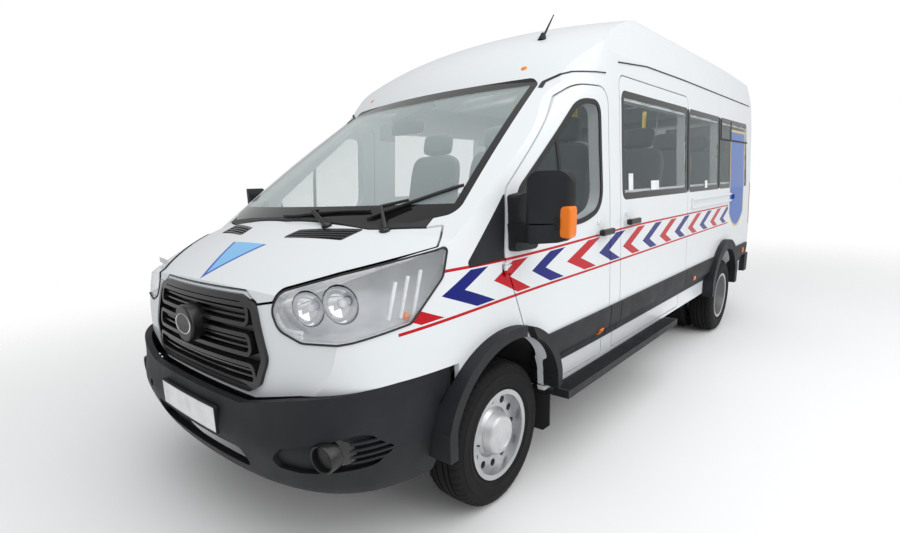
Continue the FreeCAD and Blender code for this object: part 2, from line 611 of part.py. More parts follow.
def both_halves_plan(half):
    return half + [(x, -y) for x, y in reversed(half) if abs(y) > 1e-6]


lamp = lamp_prism(600, 1400)
lamp_body = shell.common(lamp)
lamps = [lamp, mirrored(lamp)]
node("headlamps", feature("Headlamps", Part.makeCompound([lamp_body, mirrored(lamp_body)])))
bonnet_space = bonnet_zone(0.0)
grille_hole = front_outline_prism(GRILLE, [60] * len(GRILLE), 700, 1100)
BONNET_GAP = GAP + 2
lamp_clear = lamp_prism(600, 1400, grow=BONNET_GAP)
grille_clear = front_outline_prism(GRILLE, [60] * len(GRILLE), 700, 1100, grow=GAP)
bonnet = seam_skin.common(bonnet_zone(-BONNET_GAP)).cut([lamp_clear, mirrored(lamp_clear), grille_clear])
VENT = [(500, 205), (402, 546), (518, 518), (584, 178)]
vent = top_prism(VENT, 1150, 1420, 14)
vent_frame = vent.cut([top_prism([(508, 216), (416, 533), (516, 508), (574, 190)], 1150, 1420, 8)])
slats = [top_prism([(500 + 17 * k, 200 - 3 * k), (392 + 23 * k, 560 - 5 * k), (398 + 23 * k, 560 - 5 * k),
                    (506 + 17 * k, 200 - 3 * k)], 1150, 1420).common(vent) for k in range(1, 5)]
vents = [vent, mirrored(vent)]
bonnet = bonnet.cut(vents)
node("bonnet", feature("Bonnet", bonnet))
louvre = joined([seam_skin.common(joined([vent_frame] + slats)), form(sz.panel_depth).cut(form(sz.roof_wall)).common(vent)])
node("bonnet_vents", feature("BonnetVents", Part.makeCompound([louvre, mirrored(louvre)])))

bumper_face = both_halves(BUMPER_FACE)
bumper_zone = front_prism(bumper_face, 300, 1100)
WING_SIDE = [(-60, 1442), (561, 1442), (561, 1008), (628, 810), (640, 760), (560, 443)] + list(reversed(WING_EDGE[1:]))
wing = seam_skin.common(side_prism(WING_SIDE, 800, FAR)).cut(
    [door_hole, front_arch, lamp, bonnet_space, bumper_zone.common(block(346, 1100, 0, FAR, 0, 900)), screen_hole,
     screen_seat, body_flare, wing_trim_hole, block(-400, -370, 0, FAR, 400, 560)])
hinge_lug = block(2, 22, DOOR_PIN[1] - 26, DOOR_PIN[1] + 6, HINGE_LOW - 14, HINGE_HIGH + 14)
hinge_pocket = joined([upright_pin(19, HINGE_LOW - 5, HINGE_HIGH + 5),
                       block(-60, DOOR_PIN[0], DOOR_PIN[1] - 19, FAR, HINGE_LOW - 5, HINGE_HIGH + 5)])
wing = joined([joined([wing, hinge_lug]).cut([hinge_pocket]), upright_pin(5, HINGE_LOW - 14, HINGE_HIGH + 14)])
node("front_wings", feature("FrontWings", Part.makeCompound([wing, mirrored(wing)])))
NOSE_SIDE = [(561, 1008), (628, 810), (640, 760), (640, 640), (1100, 640), (1100, 1130), (561, 1130)]
nose = seam_skin.common(side_prism(NOSE_SIDE, -FAR, FAR)).cut(lamps + [bonnet_space, bumper_zone, grille_hole])
node("front_panel", feature("FrontPanel", nose))

cowl = roof_shell.common(block(150, 470, -800, 800, 1180, 1460)).cut([bonnet_space, screen_hole, screen_seat])
shelf = block(37, 400, -FAR, FAR, 1236, 1262).common(form(sz.roof_wall))
bulkhead = block(15, 37, -FAR, FAR, 640, 1262).common(form(sz.panel_depth))
riser = block(290, 312, -700, 700, 1262, 1400).common(form(sz.roof_wall))
BUMPER_LEVELS = [(330, (930, (540, 925), (800, 740), 925)), (400, (975, (590, 958), (880, 800), 995)),
                 (480, (992, (600, 975), (915, 835), 1020)), (560, (1000, (600, 985), (930, 860), 1034)),
                 (640, (997, (600, 985), (921, 853), 1020)), (700, (996, (600, 985), (915, 850), 1014)),
                 (830, (992, (600, 975), (890, 830), 985))]
FOG_RECESS = [(592, 520), (640, 572), (900, 640), (938, 560), (905, 505), (700, 480), (610, 486)]


def bumper_form(inset):
    wires = [plan_wire(high, *level, inset) for high, level in BUMPER_LEVELS]
    return Part.makeLoft(wires, True, False)


bumper_outer, bumper_inner = bumper_form(0.0), bumper_form(35.0)
front_zone = bumper_zone.common(block(380, sz.front_overhang, -FAR, FAR, 335, 900))
bumper = bumper_outer.cut(bumper_inner).common(front_zone)
intake = front_outline_prism([(-440, 422), (-405, 512), (405, 512), (440, 422)], [30] * 4, 800, 1100)
recess_depth = bumper_outer.cut(bumper_form(22.0))
recess = recess_depth.common(front_outline_prism(FOG_RECESS, [20, 30, 30, 30, 30, 60, 20], 600, 1100))
fins = [block(600, 1100, 868, 960, z, z + 9) for z in (528, 552, 576, 600)]
recess = recess.cut(fins)
fogs = [Part.makeCylinder(58, 400, V(AXLE + 700, y, 562), V(1, 0, 0)) for y in (808, -808)]
fogs.append(Part.makeCylinder(20, 400, V(AXLE + 700, -480, 570), V(1, 0, 0)))
front_arches = [front_arch, mirrored(front_arch)]
front_flares = [body_flare, mirrored(body_flare)]
bumper = bumper.cut(front_arches + front_flares + [intake, bumper_inner, recess, mirrored(recess)] + fogs)
node("front_bumper", feature("FrontBumper", bumper))

# grille: three bands of closed loops in a frame, with a boss in the middle
frame_outer = front_outline_prism(GRILLE, [60] * len(GRILLE), 700, 1100)
frame_inner = front_outline_prism(GRILLE, [60] * len(GRILLE), 700, 1100, grow=-26)
grille_skin = form(-sz.cladding_proud).cut(form(sz.panel_depth)).common(block(800, 1100, -600, 600, 600, 1200))
back_plate = form(sz.panel_depth).cut(form(sz.roof_wall)).common(frame_outer)
frame_ring = grille_skin.common(frame_outer.cut(frame_inner))
loops = []
for low in (752, 868, 984):
    high = low + 92
    lean = 70 * (low + 46 - 722) / 384
    half = 478 - lean
    loop = [(-half, low), (-half + 22, high), (half - 22, high), (half, low)]
    outer = front_outline_prism(loop, [34] * 4, 700, 1100)
    inner = front_outline_prism(loop, [34] * 4, 700, 1100, grow=-17)
    loops.append(grille_skin.common(outer.cut(inner)))
    for bar in (low + 30, low + 54):
        loops.append(seam_skin.common(block(800, 1100, -half + 24, half - 24, bar, bar + 8)))
boss = Part.makeCylinder(82, 120, V(AXLE + 880, 0, 954), V(1, 0, 0))
boss = boss.makeFillet(12, [edge for edge in boss.Edges if edge.BoundBox.XMin > AXLE + 990])
grille = joined([back_plate, frame_ring] + loops + [boss.cut(form(sz.panel_depth))]).cut([bumper_zone])
node("grille", feature("Grille", grille))

# roof fittings and wipers
domes = []
for y in (603, -603):
    dome = Part.makeSphere(sz.dome_radius, V(AXLE - 790, y, 2081))
    domes.append(dome.cut(form(0.0)))
node("marker_lamps", feature("MarkerLamps", Part.makeCompound(domes)))
aerial = Part.makeCone(8, 3, 190, V(AXLE - 1047, 562, 2300), V(-0.6, 0.06, 0.8))
aerial = joined([aerial, Part.makeCone(26, 12, 40, V(AXLE - 1047, 562, 2296), V(-0.2, 0.1, 1))])
node("antenna", feature("Antenna", aerial.cut(form(0.0))))
blades = []
for y in (60, -640):
    blade = front_prism([(y, 1392), (y, 1410), (y + 600, 1440), (y + 600, 1422)], -100, 460)
    blades.append(cladding_skin.common(blade))
node("wipers", feature("Wipers", Part.makeCompound(blades)))

# floor, wheelhouses and bulkhead
door_inner, wall_inner = form(sz.lining_clear), form(sz.wall)
HOUSE = sz.wheelbase
HOUSE_REACH, HOUSE_Y, HOUSE_TOP, SHEET = 445, 572, 842, 20
LINER_REAR = -434
floor_low = sz.floor_high - sz.floor_thick
cab_rear = -sz.door_rear - GAP


def floor_plate(rear, front, reach, inner):
    return block(rear, front, -reach, reach, floor_low, sz.floor_high).common(inner)


floor_parts = [floor_plate(cab_rear, LINER_REAR, FAR, door_inner), floor_plate(LINER_REAR, 15, 546, door_inner),
               floor_plate(-HOUSE + HOUSE_REACH, cab_rear, FAR, wall_inner),
               floor_plate(-HOUSE - HOUSE_REACH, -HOUSE + HOUSE_REACH, HOUSE_Y, wall_inner),
               floor_plate(-TAIL_BACK + 68, -HOUSE - HOUSE_REACH, FAR, wall_inner)]
sill = block(cab_rear, LINER_REAR, 840, FAR, sz.sill_low, floor_low).common(door_inner)
cavity = arch_outline(20, 440, -420, sz.arch_top)
liner_wire = arch_outline(20, 440, -420, sz.arch_top, extra=14)
liner = arch_prism(liner_wire, 546, 900).cut(arch_prism(cavity, 560, 930))
liner = liner.common(block(-500, 560, 0, FAR, 470, 1000))
house_low, house_top = floor_low, HOUSE_TOP - SHEET
house = [block(-HOUSE - HOUSE_REACH, -HOUSE + HOUSE_REACH, HOUSE_Y, FAR, house_top, HOUSE_TOP),
         block(-HOUSE - HOUSE_REACH + SHEET, -HOUSE + HOUSE_REACH - SHEET, HOUSE_Y, HOUSE_Y + SHEET, house_low,
               house_top),
         block(-HOUSE - HOUSE_REACH, -HOUSE - HOUSE_REACH + SHEET, HOUSE_Y, FAR, house_low, house_top),
         block(-HOUSE + HOUSE_REACH - SHEET, -HOUSE + HOUSE_REACH, HOUSE_Y, FAR, house_low, house_top)]
beside = [sill, liner] + [plate.common(wall_inner) for plate in house]
floor = Part.makeCompound(floor_parts + beside + [mirrored(piece) for piece in beside])
node("floor_pan", feature("FloorPan", floor))
liner_solid = arch_prism(liner_wire, 546, FAR)
stop_face = form(sz.panel_depth).copy()
stop_face.translate(V(0, 0, -0.3))
stops = []
for y in (610, -610):
    stops.append(block(390, 446, y - 22, y + 22, 1236, 1262))
    stops.append(Part.makeCylinder(12, 140, V(AXLE + 424, y, 1260)).common(stop_face))
scuttle = joined([cowl, shelf, bulkhead, riser] + stops).cut([liner_solid, mirrored(liner_solid)] + lamps)
node("scuttle", feature("Scuttle", scuttle))

# underframe and running gear, bound to the sheet
rail_top = sz.floor_high - sz.floor_thick
rails = []
for tag, sign in (("Left", "1"), ("Right", "-1")):
    rails.append(box(f"Rail{tag}", "body_length - tail_inset - 240", "rail_wide", "rail_tall",
                     at("-body_length / 2 + tail_inset + 70", f"{sign} * rail_spread / 2 - rail_wide / 2",
                        "floor_high - floor_thick - rail_tall")))
    rails.append(box(f"JackPad{tag}", "120", "60", "12",
                     at(from_axle(-1010), f"{sign} * rail_spread / 2 - 30", "floor_high - floor_thick - rail_tall - 12")))
for count, ahead in enumerate((-650, -1330, -2250, -3050, -4500)):
    rails.append(box(f"Cross{count}", "60", "rail_spread - rail_wide", "rail_tall - 40",
                     at(from_axle(ahead), "rail_wide / 2 - rail_spread / 2", "floor_high - floor_thick - rail_tall + 20")))
underframe = doc.addObject("Part::Compound", "Underframe")
underframe.Links = rails
node("underframe", underframe)
beam = block(853, 960, -560, 560, 530, 610).common(bumper_inner)
socket = Part.makeCylinder(sz.socket_radius, 200, V(AXLE + 880, -480, 570), V(1, 0, 0))
node("bumper_beam", feature("BumperBeam", beam.cut([socket])))

engine = [box("Block", "engine_long", "engine_wide", "engine_tall", at(from_axle(70), "-engine_wide / 2", "480")),
          box("Gearbox", "760", "300", "147", at(from_axle(-690), "-150", "348")),
          box("Housing", "100", "420", "240", at(from_axle(-30), "-210", "400"))]
engine_block = cut("EngineBlock", fuse("EngineSum", *engine),
                   box("EngineRelief", "200", "900", "200", at(from_axle(-165), "-450", "620")))
node("engine_block", engine_block)
tank = box("TankBox", "tank_long", "tank_wide", "tank_tall",
           at(from_axle(-2400), "-rail_spread / 2 - rail_wide / 2 - tank_wide", "350"))
tank_round = doc.addObject("Part::Fillet", "FuelTank")
tank_round.Base = tank
tank_round.Edges = [(edge, 40.0, 40.0) for edge in (9, 10, 11, 12)]
node("fuel_tank", tank_round)
exhaust = [cylinder("Pipe", "pipe_radius", "4000", at(from_axle(-4760), "250", "448"), "X"),
           cylinder("Silencer", "75", "620", at(from_axle(-2180), "250", "448"), "X")]
exhaust += [box(f"Hanger{k}", "30", "20", "60", at(from_axle(ahead), "240", "468"))
            for k, ahead in enumerate((-4480, -3035, -1315))]
exhaust_cut = cut("Exhaust", fuse("ExhaustSum", *exhaust), *[
    box(f"HangerTop{k}", "70", "60", "60", at(from_axle(ahead - 20), "220", "520"))
    for k, ahead in enumerate((-4480, -3035, -1315))])
node("exhaust", exhaust_cut)

hub_reach = "rear_track / 2 - 14.3"
axle_parts = [cylinder("AxleTube", "axle_tube", f"2 * ({hub_reach})",
                       at(from_axle("-wheelbase"), f"-({hub_reach})", "tyre_radius"), "Y")]
bulb = doc.addObject("Part::Sphere", "DiffBulb")
bind(bulb, {"Radius": "135", **at(from_axle("-wheelbase"), "0", "tyre_radius")})
axle_parts.append(bulb)
for tag, sign in (("L", "1"), ("R", "-1")):
    leaf_y = f"{sign} * spring_spread / 2 - spring_wide / 2"
    axle_parts.append(box(f"Leaf{tag}", "1300", "spring_wide", "36",
                          at(from_axle("-wheelbase - 650"), leaf_y, "tyre_radius + axle_tube - 6")))
    for end, ahead in (("F", "-wheelbase + 590"), ("B", "-wheelbase - 650")):
        axle_parts.append(box(f"Shackle{tag}{end}", "60", "spring_wide", "floor_high - floor_thick - 400",
                              at(from_axle(ahead), leaf_y, "400")))
axle_sum = fuse("RearAxleSum", *axle_parts)
node("rear_axle", cut("RearAxle", axle_sum, box("RailSpace", "5000", "rail_spread + rail_wide", "400",
                                                at(from_axle(-6000), "-rail_spread / 2 - rail_wide / 2",
                                                   "floor_high - floor_thick - rail_tall"))))
node("propshaft", cylinder("Propshaft", "shaft_radius", "2925", at(from_axle(-3615), "0", "tyre_radius + 14"), "X"))

STRUT_Y, STRUT_RADIUS, ARM_END, KING_Y = 630.0, 38.0, 672.0, 755.0
arms = [block(-70, 70, -560, 560, 205, 275)]
for sign in (1, -1):
    arm_plate = top_prism([(-150, sign * 380), (150, sign * 380), (50, sign * ARM_END), (16, sign * (KING_Y + 16)),
                           (-16, sign * (KING_Y + 16)), (-50, sign * ARM_END)], 215, 243, 12)
    arms.append(Part.makeCylinder(12, 40, V(AXLE, sign * KING_Y, 240)))
    strut = Part.makeCylinder(STRUT_RADIUS, 600, V(AXLE, sign * STRUT_Y, 240))
    tower = block(-55, 55, sign * 420 - 35, sign * 420 + 35, 270, rail_top - sz.rail_tall)
    arms += [arm_plate, strut, tower]
rack = Part.makeCylinder(24, 1080, V(AXLE - 175, -540, 318), V(0, 1, 0))
rack_feet = [block(-199, -60, y - 20, y + 20, 262, 318) for y in (300, -300)]
subframe = joined(arms + [rack] + rack_feet).cut([floor])
node("front_subframe", feature("FrontSubframe", subframe))

# knuckles, rims and tyres
front_y, rear_y = sz.front_track / 2, sz.rear_track / 2
HUB_FACE = front_y + 20
for side, name in ((LEFT, "left"), (RIGHT, "right")):
    upright = block(-42, 42, 706, 742, 250, 470)
    stub = Part.makeCylinder(sz.stub_radius + 14, HUB_FACE - 0.3 - 740, V(AXLE, 740, sz.tyre_radius), V(0, 1, 0))
    disc = Part.makeCylinder(138, 24, V(AXLE, KING_Y + 22, sz.tyre_radius), V(0, 1, 0))
    steering_arm = block(-150, -20, 706, 730, 300, 328)
    boss = Part.makeCylinder(26, 60, V(AXLE, KING_Y, 243.3))
    knuckle = joined([upright, stub, disc, steering_arm, boss]).cut([Part.makeCylinder(12.3, 50, V(AXLE, KING_Y, 240))])
    node(f"knuckle_{name}", feature(f"Knuckle{name.title()}", on_side(knuckle, side)))


def turned(profile, ahead, y_zero):
    """A solid of revolution about a wheel's axle; the profile is (outwards along Y, radius)."""
    wire = Part.makePolygon([V(AXLE + ahead, y_zero + y, sz.tyre_radius + r) for y, r in profile + profile[:1]])
    return Part.Face(wire).revolve(V(AXLE + ahead, 0, sz.tyre_radius), V(0, 1, 0), 360)


def tyre(ahead, middle):
    half, r = sz.tyre_width / 2, sz.tyre_radius
    seat = sz.seat_radius
    left = [(-half + 15, seat), (-half + 15, seat + 12), (-half + 3, seat + 34), (-half, r - 70), (-half + 5, r - 36),
            (-half + 14, r - 16), (-half + 26, r - 6), (-half + 44, r - 1)]
    profile = left + [(0, r)] + [(-y, radius) for y, radius in reversed(left)]
    return turned(profile, ahead, middle)


def barrel(ahead, middle):
    half, rim, seat = sz.tyre_width / 2 - 6, sz.rim_radius, sz.seat_radius
    lip = [(-half, rim - 8), (-half + 7, rim - 8), (-half + 7, seat), (half - 7, seat), (half - 7, rim - 8),
           (half, rim - 8), (half - 2, seat - 12), (-half + 2, seat - 12)]
    return turned(lip, ahead, middle)


def ring_of_holes(ahead, pitch, radius, count):
    holes = []
    for k in range(count):
        angle = 2 * math.pi * k / count
        holes.append(Part.makeCylinder(radius, 600, V(AXLE + ahead + pitch * math.cos(angle), 600,
                                                      sz.tyre_radius + pitch * math.sin(angle)), V(0, 1, 0)))
    return holes


disc_front = turned([(20, 0), (20, 120), (34, 150), (34, sz.seat_radius - 10), (46, sz.seat_radius - 10), (46, 160),
                     (44, 122), (60, 105), (88, 92), (94, 80), (94, 0)], 0, front_y).cut(ring_of_holes(0, 158, 18, 12))
rim_front = joined([barrel(0, front_y), disc_front])
twins = [rear_y - sz.twin_gap / 2, rear_y + sz.twin_gap / 2]
disc_rear = turned([(-14, 0), (-14, 150), (-30, 170), (-30, sz.seat_radius - 10), (30, sz.seat_radius - 10), (30, 170),
                    (14, 150), (14, 92), (46, 86), (46, 0)], -sz.wheelbase, rear_y)
disc_rear = disc_rear.cut(ring_of_holes(-sz.wheelbase, 160, 17, 10))
rim_rear = joined([barrel(-sz.wheelbase, twins[0]), barrel(-sz.wheelbase, twins[1]), disc_rear])
tyre_front = tyre(0, front_y)
tyre_rear = Part.makeCompound([tyre(-sz.wheelbase, y) for y in twins])
for side, name in ((LEFT, "left"), (RIGHT, "right")):
    title = name.title()
    node(f"rim_front_{name}", feature(f"RimFront{title}", on_side(rim_front, side)))
    node(f"tyre_front_{name}", feature(f"TyreFront{title}", on_side(tyre_front, side)))
    node(f"rim_rear_{name}", feature(f"RimRear{title}", on_side(rim_rear, side)))
    node(f"tyres_rear_{name}", feature(f"TyresRear{title}", on_side(tyre_rear, side)))

# rear bumper, step and mud flaps
tail_bar = top_prism([(-TAIL_BACK + 150, -1026), (-TAIL_BACK - 60, -1026), (-TAIL_BACK - 60, 1026),
                      (-TAIL_BACK + 150, 1026)], sz.sill_low, sz.rear_door_low - GAP, radii=[5, 90, 90, 5])
rear_arches = [rear_arch, mirrored(rear_arch)]
node("rear_bumper", feature("RearBumper", tail_bar.cut([form(0.0)] + rear_arches)))
tread = block(-2160, -410, 935, 1090, sz.step_low, sz.step_low + sz.step_thick)
tread = tread.cut([block(-2200, -300, 0, 1006, sz.sill_low, 600)])
node("running_board", feature("RunningBoard", tread))
rear_flap = front_prism([(610, 211), (1000, 211), (1000, 408), (960, 408), (960, sz.sill_low), (610, sz.sill_low)],
                        -HOUSE - 452, -HOUSE - 440, 6)
front_flap = front_prism([(800, 240), (830, 205), (950, 205), (985, 240), (985, 412), (930, 412),
                          (930, sz.sill_low), (800, sz.sill_low)],
                         -422, -412, 6)
flaps = [rear_flap, front_flap, mirrored(rear_flap), mirrored(front_flap)]
node("mud_flaps", feature("MudFlaps", Part.makeCompound(flaps)))

# cabin
dash = [(15, 960), (-250, 985), (-335, 1100), (-300, 1262), (-120, 1306), (290, 1300), (290, 1262), (37, 1262),
        (15, 1262)]
dash_shape = side_prism(dash, -FAR, FAR, radii=[2, 40, 50, 60, 80, 2, 2, 2, 2]).common(door_inner)
column_axis = V(-0.57, 0, 0.82).normalize()
wheel_middle = V(AXLE - 440, -400, 1228)
column = Part.makeCylinder(26, 276.7, wheel_middle - column_axis * 285, column_axis)
dash_shape = joined([dash_shape.cut([scuttle]), column])
node("dashboard", feature("Dashboard", dash_shape))
ring = Part.makeTorus(sz.wheel_ring, sz.wheel_grip, wheel_middle, column_axis)
hub = Part.makeCylinder(48, 34, wheel_middle - column_axis * 8, column_axis)
spokes = []
for angle in (0, 120, 240):
    spoke = Part.makeBox(sz.wheel_ring, 32, 14, V(0, -16, -7))
    spoke.rotate(V(), V(0, 0, 1), angle)
    spoke.Placement = FreeCAD.Placement(wheel_middle, FreeCAD.Rotation(V(0, 0, 1), column_axis)) * spoke.Placement
    spokes.append(spoke)
node("steering_wheel", feature("SteeringWheel", joined([ring, hub] + spokes)))


def seat(front, middle, base):
    """One seat: a cushion, a leaning back, a head rest and a pedestal that stands at the base height."""
    half = sz.seat_wide / 2
    top = sz.floor_high + sz.seat_high
    cushion = block(front - sz.seat_deep, front, middle - half, middle + half, top - 110, top)
    cushion = cushion.makeFillet(28, [e for e in cushion.Edges if e.BoundBox.ZMin > top - 5])
    lean = 0.22
    back = side_prism([(front - sz.seat_deep + 60, top - 60), (front - sz.seat_deep - 50, top - 60),
                       (front - sz.seat_deep - 50 - lean * 700, top + 640), (front - sz.seat_deep + 30 - lean * 700,
                                                                            top + 640)],
                      middle - half + 8, middle + half - 8, radii=[20, 20, 40, 40])
    rest = side_prism([(front - sz.seat_deep + 10 - lean * 700, top + 650),
                       (front - sz.seat_deep - 60 - lean * 700, top + 650),
                       (front - sz.seat_deep - 90 - lean * 700, top + 810),
                       (front - sz.seat_deep - 20 - lean * 700, top + 810)], middle - 120, middle + 120, 25)
    stalk = block(front - sz.seat_deep - 40 - lean * 700, front - sz.seat_deep - 10 - lean * 700, middle - 30,
                  middle + 30, top + 620, top + 680)
    pedestal = block(front - sz.seat_deep + 60, front - 105, middle - 90, middle + 90, base, top - 100)
    return joined([cushion, back, rest, stalk, pedestal])


cab_seats = [seat(-600, y, sz.floor_high) for y in (-400, 160, 600)]
node("front_seats", feature("FrontSeats", Part.makeCompound(cab_seats)))
rows = []
for front in (-1850, -2600, -3350, -4100):
    for y in (-700, -255, 620):
        beside = abs(front - sz.seat_deep / 2 + sz.wheelbase) < 450 and abs(y) > 500
        rows.append(seat(front, y, 842 if beside else sz.floor_high))
node("passenger_seats", feature("PassengerSeats", Part.makeCompound(rows)))

doc.recompute()
os.makedirs("parts", exist_ok=True)
faults = []
for label, obj in NODES.items():
    shape = obj.Shape
    if {"Invalid", "Error"} & set(obj.State) or shape.isNull() or not shape.isValid():
        faults.append(label)
        continue
    shape.exportStep(f"parts/{label}.step")
if faults:
    raise RuntimeError("bad shapes: " + ", ".join(faults))
print("sub-parts:", len(NODES))
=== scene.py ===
"""Looks of a long, high-roof minibus: paint and stripes, glass, lamps, tyres, trim and seats.

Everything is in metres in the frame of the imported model: +X forward, +Y to the vehicle's left, +Z up.
Places along the body are often given ahead of the front axle, as in the model's source.
"""
import math

import bmesh
import bpy
from mathutils import Matrix, Vector
from mathutils.bvhtree import BVHTree


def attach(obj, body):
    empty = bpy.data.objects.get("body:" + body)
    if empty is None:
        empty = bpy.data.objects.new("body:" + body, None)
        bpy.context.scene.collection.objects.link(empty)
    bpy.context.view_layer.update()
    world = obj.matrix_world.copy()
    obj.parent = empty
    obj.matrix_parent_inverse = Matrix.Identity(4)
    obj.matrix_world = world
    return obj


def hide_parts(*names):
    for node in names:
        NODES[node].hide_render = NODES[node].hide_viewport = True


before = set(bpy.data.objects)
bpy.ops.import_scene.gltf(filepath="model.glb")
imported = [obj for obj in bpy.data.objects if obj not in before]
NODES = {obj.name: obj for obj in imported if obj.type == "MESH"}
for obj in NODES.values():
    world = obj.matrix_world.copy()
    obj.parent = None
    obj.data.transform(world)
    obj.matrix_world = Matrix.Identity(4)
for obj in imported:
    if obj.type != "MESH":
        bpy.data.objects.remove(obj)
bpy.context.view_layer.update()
AXLE = 1.9675
REAR_AXLE = AXLE - 3.75


# camera, light and floor
def camera():
    data = bpy.data.cameras.new("view")
    data.sensor_width = 36.0
    data.lens = 20.2836
    data.shift_x, data.shift_y = 0.05563, 0.03392
    data.clip_end = 200.0
    view = bpy.data.objects.new("view", data)
    bpy.context.scene.collection.objects.link(view)
    right = Vector((-0.69234, 0.72037, -0.04162))
    down = Vector((0.17810, 0.11470, -0.97731))
    ahead = Vector((-0.69925, -0.68404, -0.20771))
    turn = Matrix((right, -down, -ahead)).transposed().to_4x4()
    view.matrix_world = Matrix.Translation((3.82975, 2.1605, 1.4818)) @ turn
    bpy.context.scene.camera = view


def lamp(name, size, power, place, towards, hidden=False):
    data = bpy.data.lights.new(name, "AREA")
    data.shape = "RECTANGLE"
    data.size, data.size_y = size
    data.energy = power
    light = bpy.data.objects.new(name, data)
    light.location = place
    light.visible_camera = not hidden
    light.rotation_euler = (Vector(towards) - Vector(place)).to_track_quat("-Z", "Y").to_euler()
    bpy.context.scene.collection.objects.link(light)


def studio():
    world = bpy.data.worlds.new("sky")
    bpy.context.scene.world = world
    world.use_nodes = True
    back = world.node_tree.nodes["Background"]
    back.inputs["Color"].default_value = (0.985, 0.993, 1.0, 1.0)
    back.inputs["Strength"].default_value = 0.62
    plain_sky = world.node_tree.nodes.new("ShaderNodeBackground")
    plain_sky.inputs["Color"].default_value = (1.0, 1.0, 1.0, 1.0)
    choice = world.node_tree.nodes.new("ShaderNodeMixShader")
    seen = world.node_tree.nodes.new("ShaderNodeLightPath")
    world.node_tree.links.new(seen.outputs["Is Camera Ray"], choice.inputs[0])
    world.node_tree.links.new(back.outputs[0], choice.inputs[1])
    world.node_tree.links.new(plain_sky.outputs[0], choice.inputs[2])
    world.node_tree.links.new(choice.outputs[0], world.node_tree.nodes["World Output"].inputs[0])
    lamp("overhead", (9.0, 7.0), 260.0, (1.5, 3.0, 6.5), (0.5, 0.0, 0.8))
    lamp("flank_key", (10.0, 6.0), 230.0, (-0.5, 9.5, 5.0), (-1.0, 0.8, 1.2))
    lamp("cabin_fill", (4.0, 1.0), 22.0, (-0.8, 0.0, 2.08), (-0.8, 0.0, 0.6), hidden=True)
    scene = bpy.context.scene
    scene.view_settings.view_transform = "Standard"
    scene.view_settings.look = "None"


camera()
studio()


class Term:
    """A value in a material that adds, multiplies and compares as a number does."""

    def __init__(self, tree, out):
        self.tree, self.out = tree, out

    def maths(self, kind, *others):
        node = self.tree.nodes.new("ShaderNodeMath")
        node.operation = kind
        for place, term in enumerate((self,) + others):
            if isinstance(term, Term):
                self.tree.links.new(term.out, node.inputs[place])
            else:
                node.inputs[place].default_value = term
        return Term(self.tree, node.outputs[0])

    def __add__(self, other):
        return self.maths("ADD", other)

    def __sub__(self, other):
        return self.maths("SUBTRACT", other)

    def __mul__(self, other):
        return self.maths("MULTIPLY", other)

    def __truediv__(self, other):
        return self.maths("DIVIDE", other)

    def __rsub__(self, other):
        return (self * -1.0) + other

    def __gt__(self, other):
        return self.maths("GREATER_THAN", other)

    def __lt__(self, other):
        return self.maths("LESS_THAN", other)

    def __and__(self, other):
        return self.maths("MULTIPLY", other)

    def __or__(self, other):
        return self.maths("MAXIMUM", other)

    __radd__ = __add__
    __rmul__ = __mul__

    def size(self):
        return self.maths("ABSOLUTE")

    def sine(self):
        return self.maths("SINE")

    def floor(self):
        return self.maths("FLOOR")

    def remainder(self, step):
        return self.maths("FLOORED_MODULO", step)

    def power(self, other):
        return self.maths("POWER", other)

    def least(self, other):
        return self.maths("MINIMUM", other)

    def most(self, other):
        return self.maths("MAXIMUM", other)

    def within(self, low, high):
        return (self > low) & (self < high)

    def ramp(self, low, high):
        """Runs smoothly from 0 at low to 1 at high."""
        node = self.tree.nodes.new("ShaderNodeMapRange")
        node.interpolation_type = "SMOOTHSTEP"
        self.tree.links.new(self.out, node.inputs["Value"])
        for name, value in (("From Min", low), ("From Max", high)):
            if isinstance(value, Term):
                self.tree.links.new(value.out, node.inputs[name])
            else:
                node.inputs[name].default_value = value
        return Term(self.tree, node.outputs["Result"])


